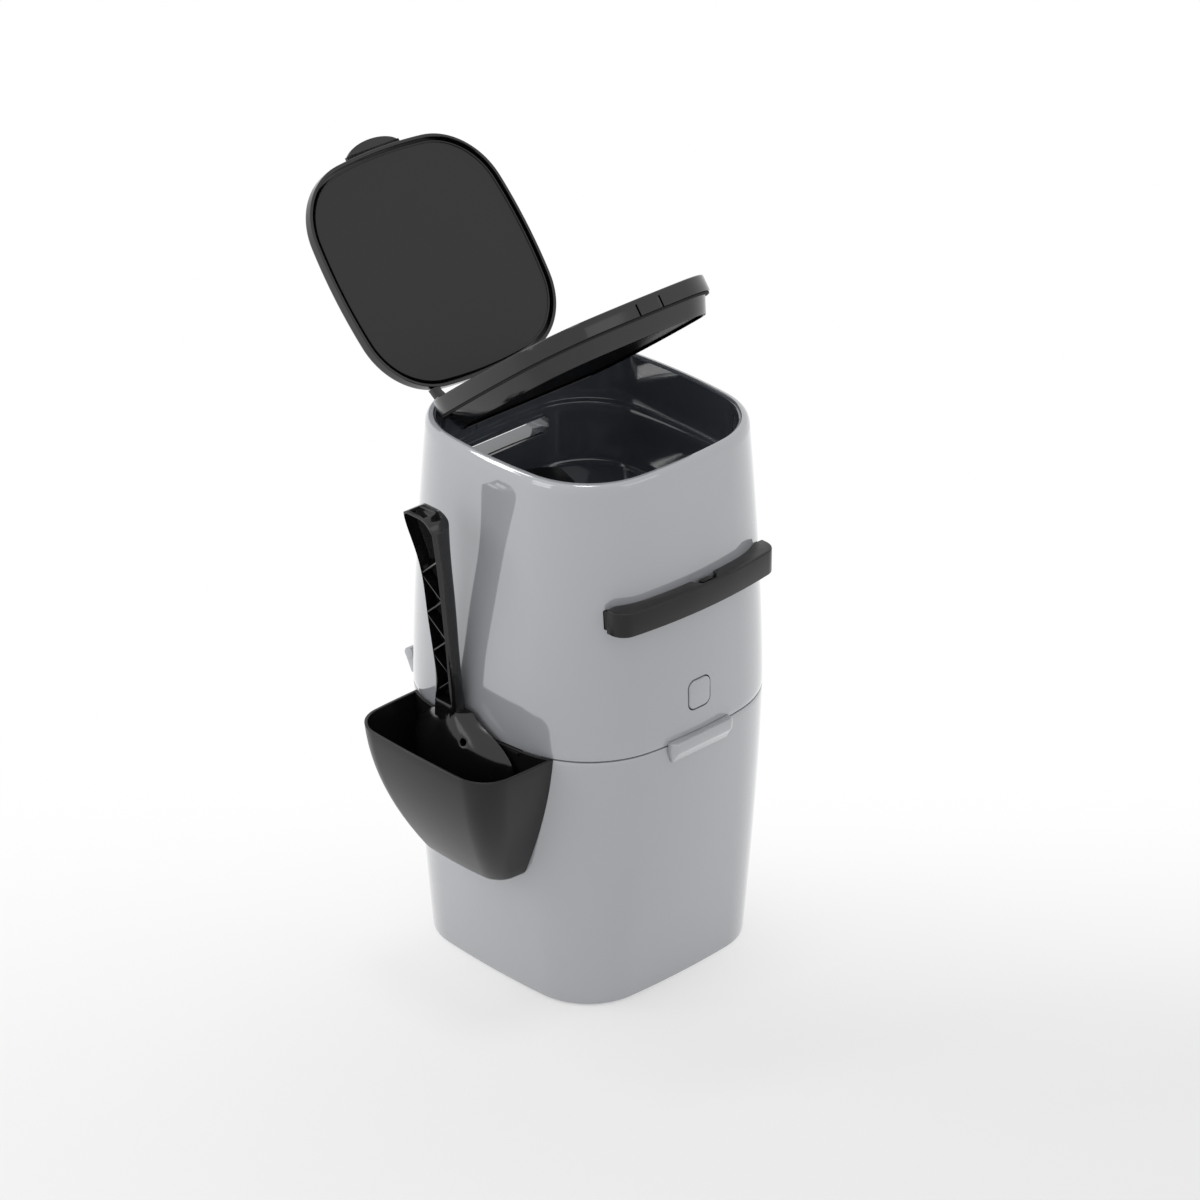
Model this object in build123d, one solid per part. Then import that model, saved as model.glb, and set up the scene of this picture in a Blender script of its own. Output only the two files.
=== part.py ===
"""Litter disposal pail: two moulded shells, a film clamp worked by a pull handle, two lids and a scoop.

Millimetres, +Z up.  The origin is the centre of the base, on the floor.  The front, with the
pull handle and the release button, faces -Y, and the scoop hangs on the -X side.
"""
from build123d import *
import os

os.makedirs("parts", exist_ok=True)

# ---- pail body ----
rim_z = 410.0                # top of the upper shell
split_z = 203.6              # middle of the seam between the two shells
split_gap = 1.0              # height of the seam
widest_z = 210.0             # height at which the body is widest
widest_half = 109.4          # half width there
base_half = 93.6             # half width at the floor
rim_half = 97.1              # half width at the rim
depth_ratio = 1.022          # the body is a little deeper than it is wide
lower_curve = 1.58           # how fast the side curves in towards the base
upper_curve = 1.53           # and towards the rim
base_corner, base_bow = 47.6, 5.6
widest_corner, widest_bow = 72.1, 14.0
rim_corner, rim_bow = 60.6, 9.0
wall = 2.6                   # moulded wall of both shells
floor_thick = 3.0
base_round = 3.0
section_count = 5            # sections in each lofted wall

# ---- rim and seam ----
lip_width = 5.0              # width of the rim, seen from above
lip_depth = 7.0
lip_round = 3.6
tongue_thick = 1.6           # locating ring of the lower bin, inside the upper shell
tongue_rise = 4.5
tongue_fall = 12.0
seam_clearance = 0.4

# ---- rear hinge of the body ----
body_hinge_y = 112.8
body_knuckle_radius = 4.3
body_pin_radius = 2.0
body_hinge_half = 68.0
knuckle_ends = (14.0, 40.0)  # where the knuckles change from one shell to the other
knuckle_gap = 0.4
web_rise = 14.0              # height of the web that carries a knuckle on its wall
pin_clearance = 0.06

# ---- well liner ----
liner_wall = 1.6
liner_gap = 0.15             # between the liner and the mouth of the shell
liner_top_z = 408.6
ledge_z = 371.0
ledge_width = 5.6
ledge_thick = 2.2
well_half_x, well_half_y = 84.8, 86.9
well_corner, well_bow = 50.0, 6.0
well_taper = 2.5
well_floor_z = 324.4
well_floor_thick = 2.4
throat_half_x = 51.0
throat_front_y, throat_rear_y = -40.0, 10.0
throat_corner = 3.0
grip_slot_z = 358.5
grip_slot_width = 86.0
grip_slot_height = 13.0
grip_sleeve_wall = 1.8
liner_rib_x = (-26.0, -19.0)

# ---- film clamp ----
grip_half = 60.0             # half width of the finger gap behind the pull handle
arm_clearance = 3.5          # between the finger gap and the arms of the clamp
arm_width = 10.0
arm_inner_x = grip_half + arm_clearance
arm_outer_x = arm_inner_x + arm_width
arm_low_z, arm_high_z = 305.0, 319.0
arm_front_y = -97.0          # where the arms meet the handle
jaw_half_x = 50.0
jaw_meet_y = 2.0             # where the two jaws meet
jaw_low_z = 306.0
crossbar_front_y, crossbar_rear_y = -50.0, -38.0
pad_thick = 1.2
pad_gap = 0.3
hump_radius = 106.0
hump_centre_z = 228.0
hump_rear_y = 76.0
hump_slope = 8.0             # how far the hump drops towards the front, in degrees
hump_wall = 2.4
frame_plate_z = 303.8        # top of the clamp frame's plate
frame_plate_thick = 2.5
frame_half_x = arm_outer_x + 13.0
frame_front_y, frame_rear_y = -58.0, 58.0
frame_corner = 12.0
rail_thick = 2.8
slide_gap = 0.6
boss_radius = 3.7
boss_x, boss_y = arm_outer_x + 4.9, 36.0
screw_radius = 1.5
screw_head_radius = 3.0
screw_head_height = 2.0
spring_x = arm_inner_x - 1.5
spring_radius = 3.6
spring_wire = 1.0
spring_post_y = 24.0
spring_post_thick = 3.0
spring_turns = 7

# ---- pull handle ----
handle_top_z = 321.8
handle_height = 18.0
handle_half = arm_outer_x + 1.5
handle_front_y = -117.8
handle_bow = 6.6
handle_corner = 12.0
handle_wall = 2.6
handle_gap = 0.4
handle_notch_x = 6.0
handle_notch_width = 25.0
handle_notch_depth = 8.0
handle_notch_fall = 3.6
handle_key = (11.0, 4.2, 1.5)
tongue_length = 10.0         # how far the clamp's arms reach into the handle
tongue_inset = 2.0
handle_screw_x, handle_screw_y = (arm_inner_x + arm_outer_x) / 2, -102.0

# ---- release button ----
button_z = 235.0
button_width, button_height, button_corner = 20.0, 22.0, 6.0
button_clearance = 0.5
button_proud = 0.5
button_travel = 3.5
button_flange = 2.2
hook_half = 8.0
hook_front_y = -104.4
hook_thick = 2.4
hook_low_z, hook_high_z = 195.2, 246.0
hook_nose_z = 198.2
catch_half = 12.0
catch_edge_y = -104.8
catch_low_z, catch_high_z = 198.6, 202.0
latch_gap = 0.3              # the nose stops this far short of the catch
latch_lip_half = 29.5
latch_lip_y = -117.2
latch_lip_z = 206.4
latch_lip_fall = 13.0
latch_lip_face = 8.0         # height of the front of the lip
latch_lip_round = 5.0
latch_cover_half = 17.0
latch_cover_low_z, latch_cover_high_z = 219.0, 251.0
latch_cover_back_y = -88.0
latch_cover_wall = 1.8
button_spring_radius = 5.4
button_spring_wire = 0.4
button_spring_turns = 4

# ---- lids ----
lid_hinge_y, lid_hinge_z = 92.2, 404.6
lid_pin_radius = 1.6
lid_knuckle_radius = 3.6
lid_notch_half = 56.0
lid_notch_z = 398.0
outer_lid_angle = 130.8      # how far the outer lid stands open
inner_lid_angle = 37.6
outer_half_x, outer_half_y = 88.8, 88.1
outer_hinge_reach = 6.45     # from the rear wall of the outer lid to the pin
outer_centre_y = lid_hinge_y - outer_hinge_reach - outer_half_y
outer_corner, outer_bow = 52.6, 8.4
outer_low_z = 404.9
outer_depth = 8.8
outer_wall = 2.2
outer_top = 2.0
outer_round = 2.4
panel_inset = 4.6
panel_recess = 1.8
panel_thick = 1.6
panel_bead = 1.2
panel_post_radius = 4.0
tab_half = 24.4
tab_reach = 9.0
tab_thick = 2.6
tab_low_z = 410.6
inner_half_x, inner_half_y = 88.8, 90.6
inner_hinge_reach = 1.0
inner_centre_y = lid_hinge_y - inner_hinge_reach - inner_half_y
inner_corner, inner_bow = 51.0, 9.0
inner_rear_y = lid_hinge_y - 8.2   # the cover is cut straight here, in front of the pin
inner_top_z = 404.6
flange_depth = 12.0
dish_depth = 13.6
dish_inset = 2.2
dish_taper = 4.4
lid_wall = 1.8
seal_thick = 1.6
lid_seal_reach = 1.0
clip_x = 4.0
clip_width = 20.0
outer_arm = (46.5, 53.5)     # knuckle spans along the lid pin
liner_ear = (41.0, 46.0)
inner_arm = (33.0, 40.5)
liner_mid_ear = 7.0
lid_pin_half = 54.5

# ---- scoop holder ----
holder_top_z, holder_low_z = 204.0, 100.0
holder_top_reach, holder_low_reach = 165.0, 126.0
holder_top_half, holder_low_half = 69.5, 42.0
holder_reach_bulge, holder_half_bulge = 7.4, 4.8
holder_corner_top, holder_corner_low = 25.0, 16.0
holder_bow = 2.5
holder_wall = 2.2
holder_gap = 0.4
hook_y, hook_width = 35.0, 20.0
hook_plate = 1.5
hook_plate_z = 202.7
hook_drop = 11.0
hook_drop_thick = 1.8

# ---- scoop ----
scoop_rest = 0.3             # between the blade's tip and the floor of the pocket
blade_stations = [           # height, y range, x of the edges, x of the spine
    (holder_low_z + holder_wall + scoop_rest, -32.0, 37.0, -112.0, -118.0),
    (120.0, -38.0, 43.0, -112.0, -125.0),
    (145.0, -43.0, 52.0, -112.5, -131.0),
    (172.0, -46.0, 58.0, -113.0, -134.0),
    (190.0, -44.0, 55.0, -113.0, -132.0),
    (206.0, -28.0, 40.0, -113.5, -128.0),
    (220.0, -4.0, 24.0, -113.0, -124.0),
]
handle_stations = [          # height, x and y of the middle, depth and width
    (212.0, -118.6, 14.5, 13.0, 21.0),
    (226.0, -118.6, 14.2, 13.0, 20.0),
    (262.0, -122.0, 13.2, 13.0, 17.0),
    (310.0, -128.0, 12.4, 14.0, 19.5),
    (345.0, -133.0, 13.0, 15.0, 23.5),
    (362.0, -135.5, 14.6, 16.5, 28.5),
    (380.0, -137.2, 15.5, 17.0, 31.0),
]
handle_end_z = 377.0         # top of the arch that closes the handle
handle_end_rounds = (13.0, 7.0)
scoop_wall = 1.9
scoop_lift = 250.0
scoop_slot_width = 5.0
scoop_slot_pitch = 11.0
scoop_slot_count = 7
scoop_slot_length = 46.0
scoop_hole_radius = 2.6
channel_low_z = 228.0
channel_depth = 10.4
channel_wall = 1.8
rib_pitch = 16.0
rib_thick = 0.8
rib_count = 7
rib_sunk = 1.2               # how far the ribs stay below the edge of the channel
hang_width = 15.0            # window in the arch, to hang the scoop up
hang_depth = 9.0


def side_shape(z):
    """Half width, corner radius and bow of the body's outline at height z."""
    if z <= widest_z:
        share = ((widest_z - z) / widest_z) ** lower_curve
        end = (base_half, base_corner, base_bow)
    else:
        share = ((z - widest_z) / (rim_z - widest_z)) ** upper_curve
        end = (rim_half, rim_corner, rim_bow)
    middle = (widest_half, widest_corner, widest_bow)
    return tuple(m + (e - m) * share for m, e in zip(middle, end))


def body_depth(z):
    """Distance from the middle to the front or rear face at height z."""
    return side_shape(z)[0] * depth_ratio


def bowed_square(half_x, half_y, corner, bow):
    """A square whose four sides bow out by bow and whose corners are rounded."""
    x, y = half_x - bow, half_y - bow
    sides = [
        ThreePointArc((x, -y), (half_x, 0), (x, y)),
        ThreePointArc((x, y), (0, half_y), (-x, y)),
        ThreePointArc((-x, y), (-half_x, 0), (-x, -y)),
        ThreePointArc((-x, -y), (0, -half_y), (x, -y)),
    ]
    face = make_face(sides)
    return fillet(face.vertices(), corner)


def body_section(z, inset=0.0):
    """The body's outline at height z, moved in by inset."""
    half, corner, bow = side_shape(z)
    return Pos(0, 0, z) * bowed_square(half - inset, half * depth_ratio - inset, corner - inset, bow)


def body_stack(low_z, high_z, inset=0.0, count=section_count):
    """The body's curved form between two heights, moved in by inset."""
    step = (high_z - low_z) / (count - 1)
    return loft([body_section(low_z + i * step, inset) for i in range(count)])


def block(x, y, z):
    """A box from its lowest and highest coordinates along each axis."""
    size = [b - a for a, b in (x, y, z)]
    middle = [(a + b) / 2 for a, b in (x, y, z)]
    return Pos(*middle) * Box(*size)


def bar_x(radius, low, high, y, z):
    """A cylinder along X."""
    return Pos((low + high) / 2, y, z) * Rot(0, 90, 0) * Cylinder(radius, high - low)


def bar_y(radius, low, high, x, z):
    """A cylinder along Y."""
    return Pos(x, (low + high) / 2, z) * Rot(90, 0, 0) * Cylinder(radius, high - low)


def bar_z(radius, low, high, x, y):
    """A cylinder along Z."""
    return Pos(x, y, (low + high) / 2) * Cylinder(radius, high - low)


def prism_y(face, low, high):
    """A face drawn in X and Z, extruded along Y from low to high."""
    plane = Plane(origin=(0, low, 0), x_dir=(1, 0, 0), z_dir=(0, -1, 0))
    return extrude(plane * face, amount=-(high - low))


def prism_x(face, low, high):
    """A face drawn in Y and Z, extruded along X from low to high."""
    plane = Plane(origin=(low, 0, 0), x_dir=(0, 1, 0), z_dir=(1, 0, 0))
    return extrude(plane * face, amount=high - low)


def save(name, *solids):
    """Write one node."""
    part = solids[0] if len(solids) == 1 else Compound(children=list(solids))
    export_step(part, f"parts/{name}.step")


def both_sides(solid):
    return solid + mirror(solid, about=Plane.YZ)


# ---- hinge of the body ----

def knuckle_spans(upper):
    """Spans along X of the knuckles that belong to the upper or the lower shell."""
    inner, outer = knuckle_ends
    if upper:
        return [(-outer, -inner), (inner, outer)]
    return [(-body_hinge_half, -outer), (-inner, inner), (outer, body_hinge_half)]


def body_knuckles(upper):
    """Hinge barrels of one shell, with the web that carries them on its wall."""
    solids = None
    way = 1 if upper else -1
    wall_y, edge_y = body_hinge_y - 3.2, body_hinge_y + body_knuckle_radius - 0.1
    for low, high in knuckle_spans(upper):
        low, high = low + knuckle_gap / 2, high - knuckle_gap / 2
        barrel = bar_x(body_knuckle_radius, low, high, body_hinge_y, split_z)
        corners = [(wall_y, 0.5), (edge_y, 0.5), (edge_y, 1.6), (wall_y, web_rise)]
        web = prism_x(make_face(Polyline(*[(y, split_z + way * z) for y, z in corners], close=True)),
                      low, high)
        piece = barrel + web
        solids = piece if solids is None else solids + piece
    return solids


def knuckle_room(upper):
    """What is cut from one shell so that the other's knuckles can turn."""
    room = None
    for low, high in knuckle_spans(not upper):
        solid = bar_x(body_knuckle_radius + knuckle_gap, low - knuckle_gap / 2, high + knuckle_gap / 2,
                      body_hinge_y, split_z)
        room = solid if room is None else room + solid
    return room


# ---- lower body ----

def lower_bin():
    top_z = split_z - split_gap / 2
    solid = body_stack(0, top_z)
    solid = fillet(solid.faces().sort_by(Axis.Z)[0].edges(), base_round)
    solid -= body_stack(floor_thick, top_z + 2, wall)
    # locating ring inside the upper shell
    ring_inset = wall + seam_clearance + tongue_thick
    low_z, high_z = split_z - tongue_fall, split_z + tongue_rise
    inside = body_stack(low_z - 1, high_z + 1, ring_inset, 3)
    solid += body_stack(low_z, top_z, wall - 0.1, 3) - inside
    solid += body_stack(top_z - 0.6, high_z, wall + seam_clearance, 3) - inside
    # lip for the thumb at the front
    lip_y = -body_depth(top_z)
    profile = make_face(Polyline((lip_y + wall, top_z - latch_lip_fall - 4), (lip_y + wall, latch_lip_z),
                                 (latch_lip_y + 1.2, latch_lip_z), (latch_lip_y, latch_lip_z - 1.2),
                                 (latch_lip_y, latch_lip_z - latch_lip_face + 2),
                                 (latch_lip_y + 1.6, latch_lip_z - latch_lip_face),
                                 (lip_y - 0.6, top_z - latch_lip_fall), close=True))
    lip = prism_x(profile, -latch_lip_half, latch_lip_half)
    lip &= prism_z(Pos(0, latch_lip_y + 15) * RectangleRounded(2 * latch_lip_half, 30, latch_lip_round),
                   top_z - latch_lip_fall - 10, latch_lip_z + 1)
    solid += lip - body_stack(floor_thick, high_z + 2, wall)
    # catch for the latch
    catch = block((-catch_half, catch_half), (lip_y + wall, catch_edge_y), (catch_low_z, catch_high_z))
    solid += catch
    solid += body_knuckles(False) - body_stack(low_z, high_z + 1, wall)
    solid -= knuckle_room(False)
    solid -= bar_x(body_pin_radius, -body_hinge_half, body_hinge_half, body_hinge_y, split_z)
    # recesses for the hooks of the scoop's holder
    for side in (-1, 1):
        y = side * hook_y
        solid -= block((-116, -98), (y - hook_width / 2 - 0.4, y + hook_width / 2 + 0.4),
                       (hook_plate_z - hook_plate, high_z + 1))
    return solid


def body_hinge_pin():
    return bar_x(body_pin_radius, -body_hinge_half, body_hinge_half, body_hinge_y, split_z)


# ---- upper body ----

def mouth_outline(inset):
    """Outline of the mouth of the upper shell, moved in by inset."""
    return bowed_square(rim_half - lip_width - inset, rim_half * depth_ratio - lip_width - inset,
                        rim_corner - lip_width - inset, rim_bow)


def prism_z(face, low, high):
    return extrude(Pos(0, 0, low) * face, amount=high - low)


def upper_shell():
    low_z = split_z + split_gap / 2
    solid = body_stack(low_z, rim_z)
    solid = fillet(solid.faces().sort_by(Axis.Z)[-1].edges(), lip_round)
    solid -= body_stack(low_z - 1, rim_z - lip_depth, wall)
    solid -= prism_z(mouth_outline(0), rim_z - lip_depth - 1, rim_z + 1)
    # hinge of the body
    knuckles = body_knuckles(True)
    solid += knuckles - body_stack(low_z - 6, low_z + 30, wall, 3)
    solid -= knuckle_room(True)
    solid -= bar_x(body_pin_radius + pin_clearance, -body_hinge_half - 1, body_hinge_half + 1,
                   body_hinge_y, split_z)
    # notch for the lower bin's thumb lip
    half = latch_lip_half + 0.6
    solid -= block((-half, half), (-122, -100), (low_z - 1, latch_lip_z + 0.5))
    # notch in the rim for the arms of the lids
    solid -= block((-lid_notch_half, lid_notch_half), (84, 110), (lid_notch_z, rim_z + 1))
    # hole for the release button
    half_x, half_z = button_width / 2 + button_clearance, button_height / 2 + button_clearance
    hole = Pos(0, button_z) * RectangleRounded(2 * half_x, 2 * half_z, button_corner)
    solid -= prism_y(hole, -125, -100)
    # slots for the arms of the clamp
    for side in (-1, 1):
        x = side * (arm_inner_x + arm_outer_x) / 2
        slot = Pos(x, (arm_low_z + arm_high_z) / 2) * RectangleRounded(
            arm_outer_x - arm_inner_x + 2 * slide_gap, arm_high_z - arm_low_z + 2 * slide_gap, 1.5)
        solid -= prism_y(slot, -125, -70)
    # grip slot at the back
    solid -= prism_y(grip_outline(grip_sleeve_wall + 0.2), 90, 125)
    return solid


def grip_outline(grow):
    """Outline of the grip slot at the back, grown by grow."""
    return Pos(0, grip_slot_z) * SlotOverall(grip_slot_width + 2 * grow, grip_slot_height + 2 * grow)


def liner_ears():
    """Ears of the liner that hold the lids' pin."""
    ears = None
    spans = [(-liner_ear[1], -liner_ear[0]), (-liner_mid_ear, liner_mid_ear), liner_ear]
    back_y = rim_half * depth_ratio - lip_width - liner_gap
    for low, high in spans:
        ear = block((low, high), (lid_hinge_y - lid_knuckle_radius, back_y), (lid_notch_z - 8, lid_hinge_z))
        ear += block((low, high), (lid_hinge_y - lid_knuckle_radius + 1.2, back_y), (lid_notch_z - 12, lid_notch_z))
        ear += bar_x(lid_knuckle_radius, low, high, lid_hinge_y, lid_hinge_z)
        ears = ear if ears is None else ears + ear
    return ears


def well_outline(z, grow=0.0):
    """Outline of the inside of the well at height z, grown by grow."""
    inset = (ledge_z - z) / (ledge_z - well_floor_z) * well_taper
    return Pos(0, 0, z) * bowed_square(well_half_x - inset + grow, well_half_y - inset + grow,
                                       well_corner - inset + grow, well_bow)


def well_liner():
    outer = prism_z(mouth_outline(liner_gap), ledge_z - ledge_thick, liner_top_z)
    outer -= prism_z(mouth_outline(liner_gap + liner_wall), ledge_z, liner_top_z + 1)
    floor_low = well_floor_z - well_floor_thick
    outer += loft([well_outline(floor_low, liner_wall), well_outline(ledge_z - ledge_thick + 0.5, liner_wall)])
    outer -= loft([well_outline(well_floor_z), well_outline(ledge_z + 0.5)])
    # ridge that snaps under the lip of the rim
    ridge_z = rim_z - lip_depth
    ridge = prism_z(mouth_outline(-1.0), ridge_z - 2.4, ridge_z) - prism_z(mouth_outline(liner_gap + 0.8),
                                                                         ridge_z - 3, ridge_z + 1)
    gate = block((-45, 45), (-120, -60), (380, 420)) + block((-120, -60), (-45, 45), (380, 420))
    gate += block((60, 120), (-45, 45), (380, 420))
    outer += ridge & gate
    # ribs on the back wall
    back_y = rim_half * depth_ratio - lip_width - liner_gap - liner_wall
    for x in liner_rib_x:
        outer += block((x - 0.7, x + 0.7), (back_y - 1.4, back_y + 0.5), (ledge_z, lid_notch_z - 3))
    outer += liner_ears()
    outer -= block((-lid_notch_half, -liner_ear[1]), (84, 110), (lid_notch_z, rim_z))
    outer -= block((-liner_ear[0], -liner_mid_ear), (84, 110), (lid_notch_z, rim_z))
    outer -= block((liner_mid_ear, liner_ear[0]), (84, 110), (lid_notch_z, rim_z))
    outer -= block((liner_ear[1], lid_notch_half), (84, 110), (lid_notch_z, rim_z))
    for low, high in ((-liner_ear[1], -liner_ear[0]), (-liner_mid_ear, liner_mid_ear), liner_ear):
        cap = block((low - 1, high + 1), (lid_hinge_y, 110), (lid_hinge_z - 3, rim_z))
        outer -= cap - bar_x(lid_knuckle_radius, low - 1, high + 1, lid_hinge_y, lid_hinge_z)
    outer -= bar_x(lid_pin_radius, -lid_pin_half, lid_pin_half, lid_hinge_y, lid_hinge_z)
    # sleeve of the grip slot, out to the shell
    sleeve = prism_y(grip_outline(grip_sleeve_wall), well_half_y - 4, 120)
    sleeve = sleeve & body_stack(300, 400, wall * 0.4, 3)
    sleeve -= loft([well_outline(well_floor_z), well_outline(ledge_z + 0.5)])
    outer += sleeve
    outer -= prism_y(grip_outline(0), 60, 125)
    # throat for the film
    throat = Pos(0, (throat_front_y + throat_rear_y) / 2) * RectangleRounded(
        2 * throat_half_x, throat_rear_y - throat_front_y, throat_corner)
    outer -= prism_z(throat, floor_low - 1, well_floor_z + 1)
    for x in (-boss_x, boss_x):
        for y in (-boss_y, boss_y):
            outer -= bar_z(screw_radius, floor_low - 1, well_floor_z - 0.6, x, y)
    return outer


# ---- film clamp ----

def rear_jaw():
    """The fixed jaw: a hollow hump behind the throat, with a lip that hangs down through it."""
    lip_front = jaw_meet_y + pad_gap / 2 + pad_thick
    hump = block((-jaw_half_x, jaw_half_x), (lip_front, hump_rear_y), (well_floor_z, rim_z))
    tilt = Pos(0, hump_rear_y, hump_centre_z) * Rot(hump_slope, 0, 0)
    outer = tilt * Rot(90, 0, 0) * Cylinder(hump_radius, 320)
    inner = tilt * Rot(90, 0, 0) * Cylinder(hump_radius - hump_wall, 320)
    hump = hump & outer
    room = block((-jaw_half_x + hump_wall, jaw_half_x - hump_wall),
                 (lip_front + 2 * hump_wall, hump_rear_y - hump_wall), (well_floor_z - 1, rim_z))
    hump -= room & inner
    lip = block((-jaw_half_x, jaw_half_x), (lip_front, throat_rear_y - 0.4), (jaw_low_z, well_floor_z + 1))
    return hump + lip


def rear_jaw_pad():
    front = jaw_meet_y + pad_gap / 2
    return block((-jaw_half_x + 2, jaw_half_x - 2), (front, front + pad_thick), (jaw_low_z + 1, jaw_low_z + 11))


def front_jaw_pad():
    rear = jaw_meet_y - pad_gap / 2
    return block((-jaw_half_x + 2, jaw_half_x - 2), (rear - pad_thick, rear), (jaw_low_z + 1, jaw_low_z + 11))


def front_jaw():
    """The sliding jaw, with the two arms that run forward to the handle."""
    rear = jaw_meet_y - pad_gap / 2 - pad_thick
    plate = block((-jaw_half_x, jaw_half_x), (crossbar_front_y, rear), (jaw_low_z, jaw_low_z + 3))
    nose = block((-jaw_half_x, jaw_half_x), (rear - 3, rear), (jaw_low_z, jaw_low_z + 12))
    bar = block((-arm_outer_x, arm_outer_x), (crossbar_front_y, crossbar_rear_y), (arm_low_z, arm_high_z))
    bar -= block((-arm_outer_x + 12, arm_outer_x - 12), (crossbar_front_y + 2.5, crossbar_rear_y - 2.5),
                 (arm_low_z + 3, arm_high_z + 1))
    solid = plate + nose + bar
    for x in (-40.0, -13.5, 13.5, 40.0):
        rib = prism_x(make_face(Polyline((crossbar_rear_y - 0.5, jaw_low_z + 2), (rear - 1, jaw_low_z + 2),
                                         (rear - 1, jaw_low_z + 11), (crossbar_rear_y - 0.5, arm_high_z - 1),
                                         close=True)), x - 1.0, x + 1.0)
        solid += rib
    arm = block((arm_inner_x, arm_outer_x), (arm_front_y, crossbar_front_y + 1), (arm_low_z, arm_high_z))
    arm -= block((arm_inner_x + 2.4, arm_outer_x - 2.4), (arm_front_y + 4, crossbar_front_y - 3),
                 (arm_low_z + 2.4, arm_high_z + 1))
    arm += block((arm_inner_x + tongue_inset, arm_outer_x - tongue_inset),
                 (arm_front_y - tongue_length, arm_front_y + 1),
                 (arm_low_z + tongue_inset, arm_high_z - tongue_inset))
    solid += both_sides(arm)
    for side in (-1, 1):
        solid -= bar_z(screw_radius, arm_low_z - 1, arm_high_z - 3, side * handle_screw_x, handle_screw_y)
    return solid


def pull_handle():
    """Curved bar across the front, hollow behind so that fingers reach in from below."""
    low_z = handle_top_z - handle_height
    half, y = handle_half, handle_front_y
    end_y = y + handle_bow
    plan = make_face([
        ThreePointArc((-half, end_y), (0, y), (half, end_y)),
        Line((half, end_y), (half, -60)), Line((half, -60), (-half, -60)), Line((-half, -60), (-half, end_y)),
    ])
    front = sorted(plan.vertices(), key=lambda v: v.Y)[:2]
    plan = fillet(front, handle_corner)
    bar = prism_z(plan, low_z, handle_top_z)
    plan_block = bar
    edge = bar.faces().sort_by(Axis.Z)[-1].edges().filter_by(lambda e: e.center().Y < -70)
    bar = fillet(edge, 1.2)
    around = body_stack(low_z - 8, handle_top_z + 8, -handle_gap, 3)
    ends = block((-half - 1, half + 1), (-200, arm_front_y), (low_z - 1, handle_top_z + 1))
    middle = block((-grip_half - 3, grip_half + 3), (-200, 0), (low_z - 1, handle_top_z + 1))
    bar = (bar - around) & (ends + middle)
    # finger gap
    grip = make_face([
        ThreePointArc((-grip_half, end_y + handle_wall - 1), (0, y + handle_wall),
                      (grip_half, end_y + handle_wall - 1)),
        Line((grip_half, end_y + handle_wall - 1), (grip_half, -60)),
        Line((grip_half, -60), (-grip_half, -60)),
        Line((-grip_half, -60), (-grip_half, end_y + handle_wall - 1)),
    ])
    bar -= prism_z(grip, low_z - 1, handle_top_z - handle_wall)
    # notch in the back of the top
    body_y = -body_depth(handle_top_z)
    x, half_w = handle_notch_x, handle_notch_width / 2
    notch = make_face(Polyline((x - half_w, body_y + 2), (x + half_w, body_y + 2),
                               (x + half_w - 3, body_y - handle_notch_depth * 0.55),
                               (x + half_w - 6, body_y - handle_notch_depth),
                               (x - half_w + 6, body_y - handle_notch_depth),
                               (x - half_w + 3, body_y - handle_notch_depth * 0.55), close=True))
    fall = handle_notch_fall
    well = block((x - half_w - 2, x + half_w + 2), (body_y - handle_notch_depth - 1.4, body_y + 2),
                 (handle_top_z - fall - 1.5, handle_top_z - handle_wall + 0.5))
    bar += (well & plan_block) - around
    bar -= prism_z(notch, handle_top_z - fall, handle_top_z + 1)
    bar += prism_z(Pos(x, body_y - handle_notch_depth * 0.5) * RectangleRounded(*handle_key),
                   handle_top_z - fall - 0.5, handle_top_z - 0.3)
    for side in (-1, 1):
        mid = side * (arm_inner_x + arm_outer_x) / 2
        wide = (arm_outer_x - arm_inner_x) / 2 - tongue_inset
        bar -= block((mid - wide, mid + wide), (arm_front_y - tongue_length, arm_front_y + 1),
                     (arm_low_z + tongue_inset, arm_high_z - tongue_inset))
        bar -= bar_z(screw_radius, low_z - 1, arm_high_z - 3, side * handle_screw_x, handle_screw_y)
        bar -= bar_z(screw_head_radius, low_z - 1, low_z + 1.0, side * handle_screw_x, handle_screw_y)
    return bar


def screw(x, y, low_z, high_z):
    """A screw along Z, driven in from below."""
    shank = bar_z(screw_radius, low_z + 1, high_z, x, y)
    head = bar_z(screw_head_radius, low_z - screw_head_height + 1, low_z + 1, x, y)
    slot = Pos(x, y, low_z - screw_head_height + 1.3) * Box(0.8, 2.6, 1.4)
    return (shank + head) - slot - Rot(0, 0, 0) * Pos(x, y, low_z - screw_head_height + 1.3) * Box(2.6, 0.8, 1.4)


def handle_screws():
    low_z = handle_top_z - handle_height
    return [screw(side * handle_screw_x, handle_screw_y, low_z, arm_high_z - 3) for side in (-1, 1)]


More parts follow.
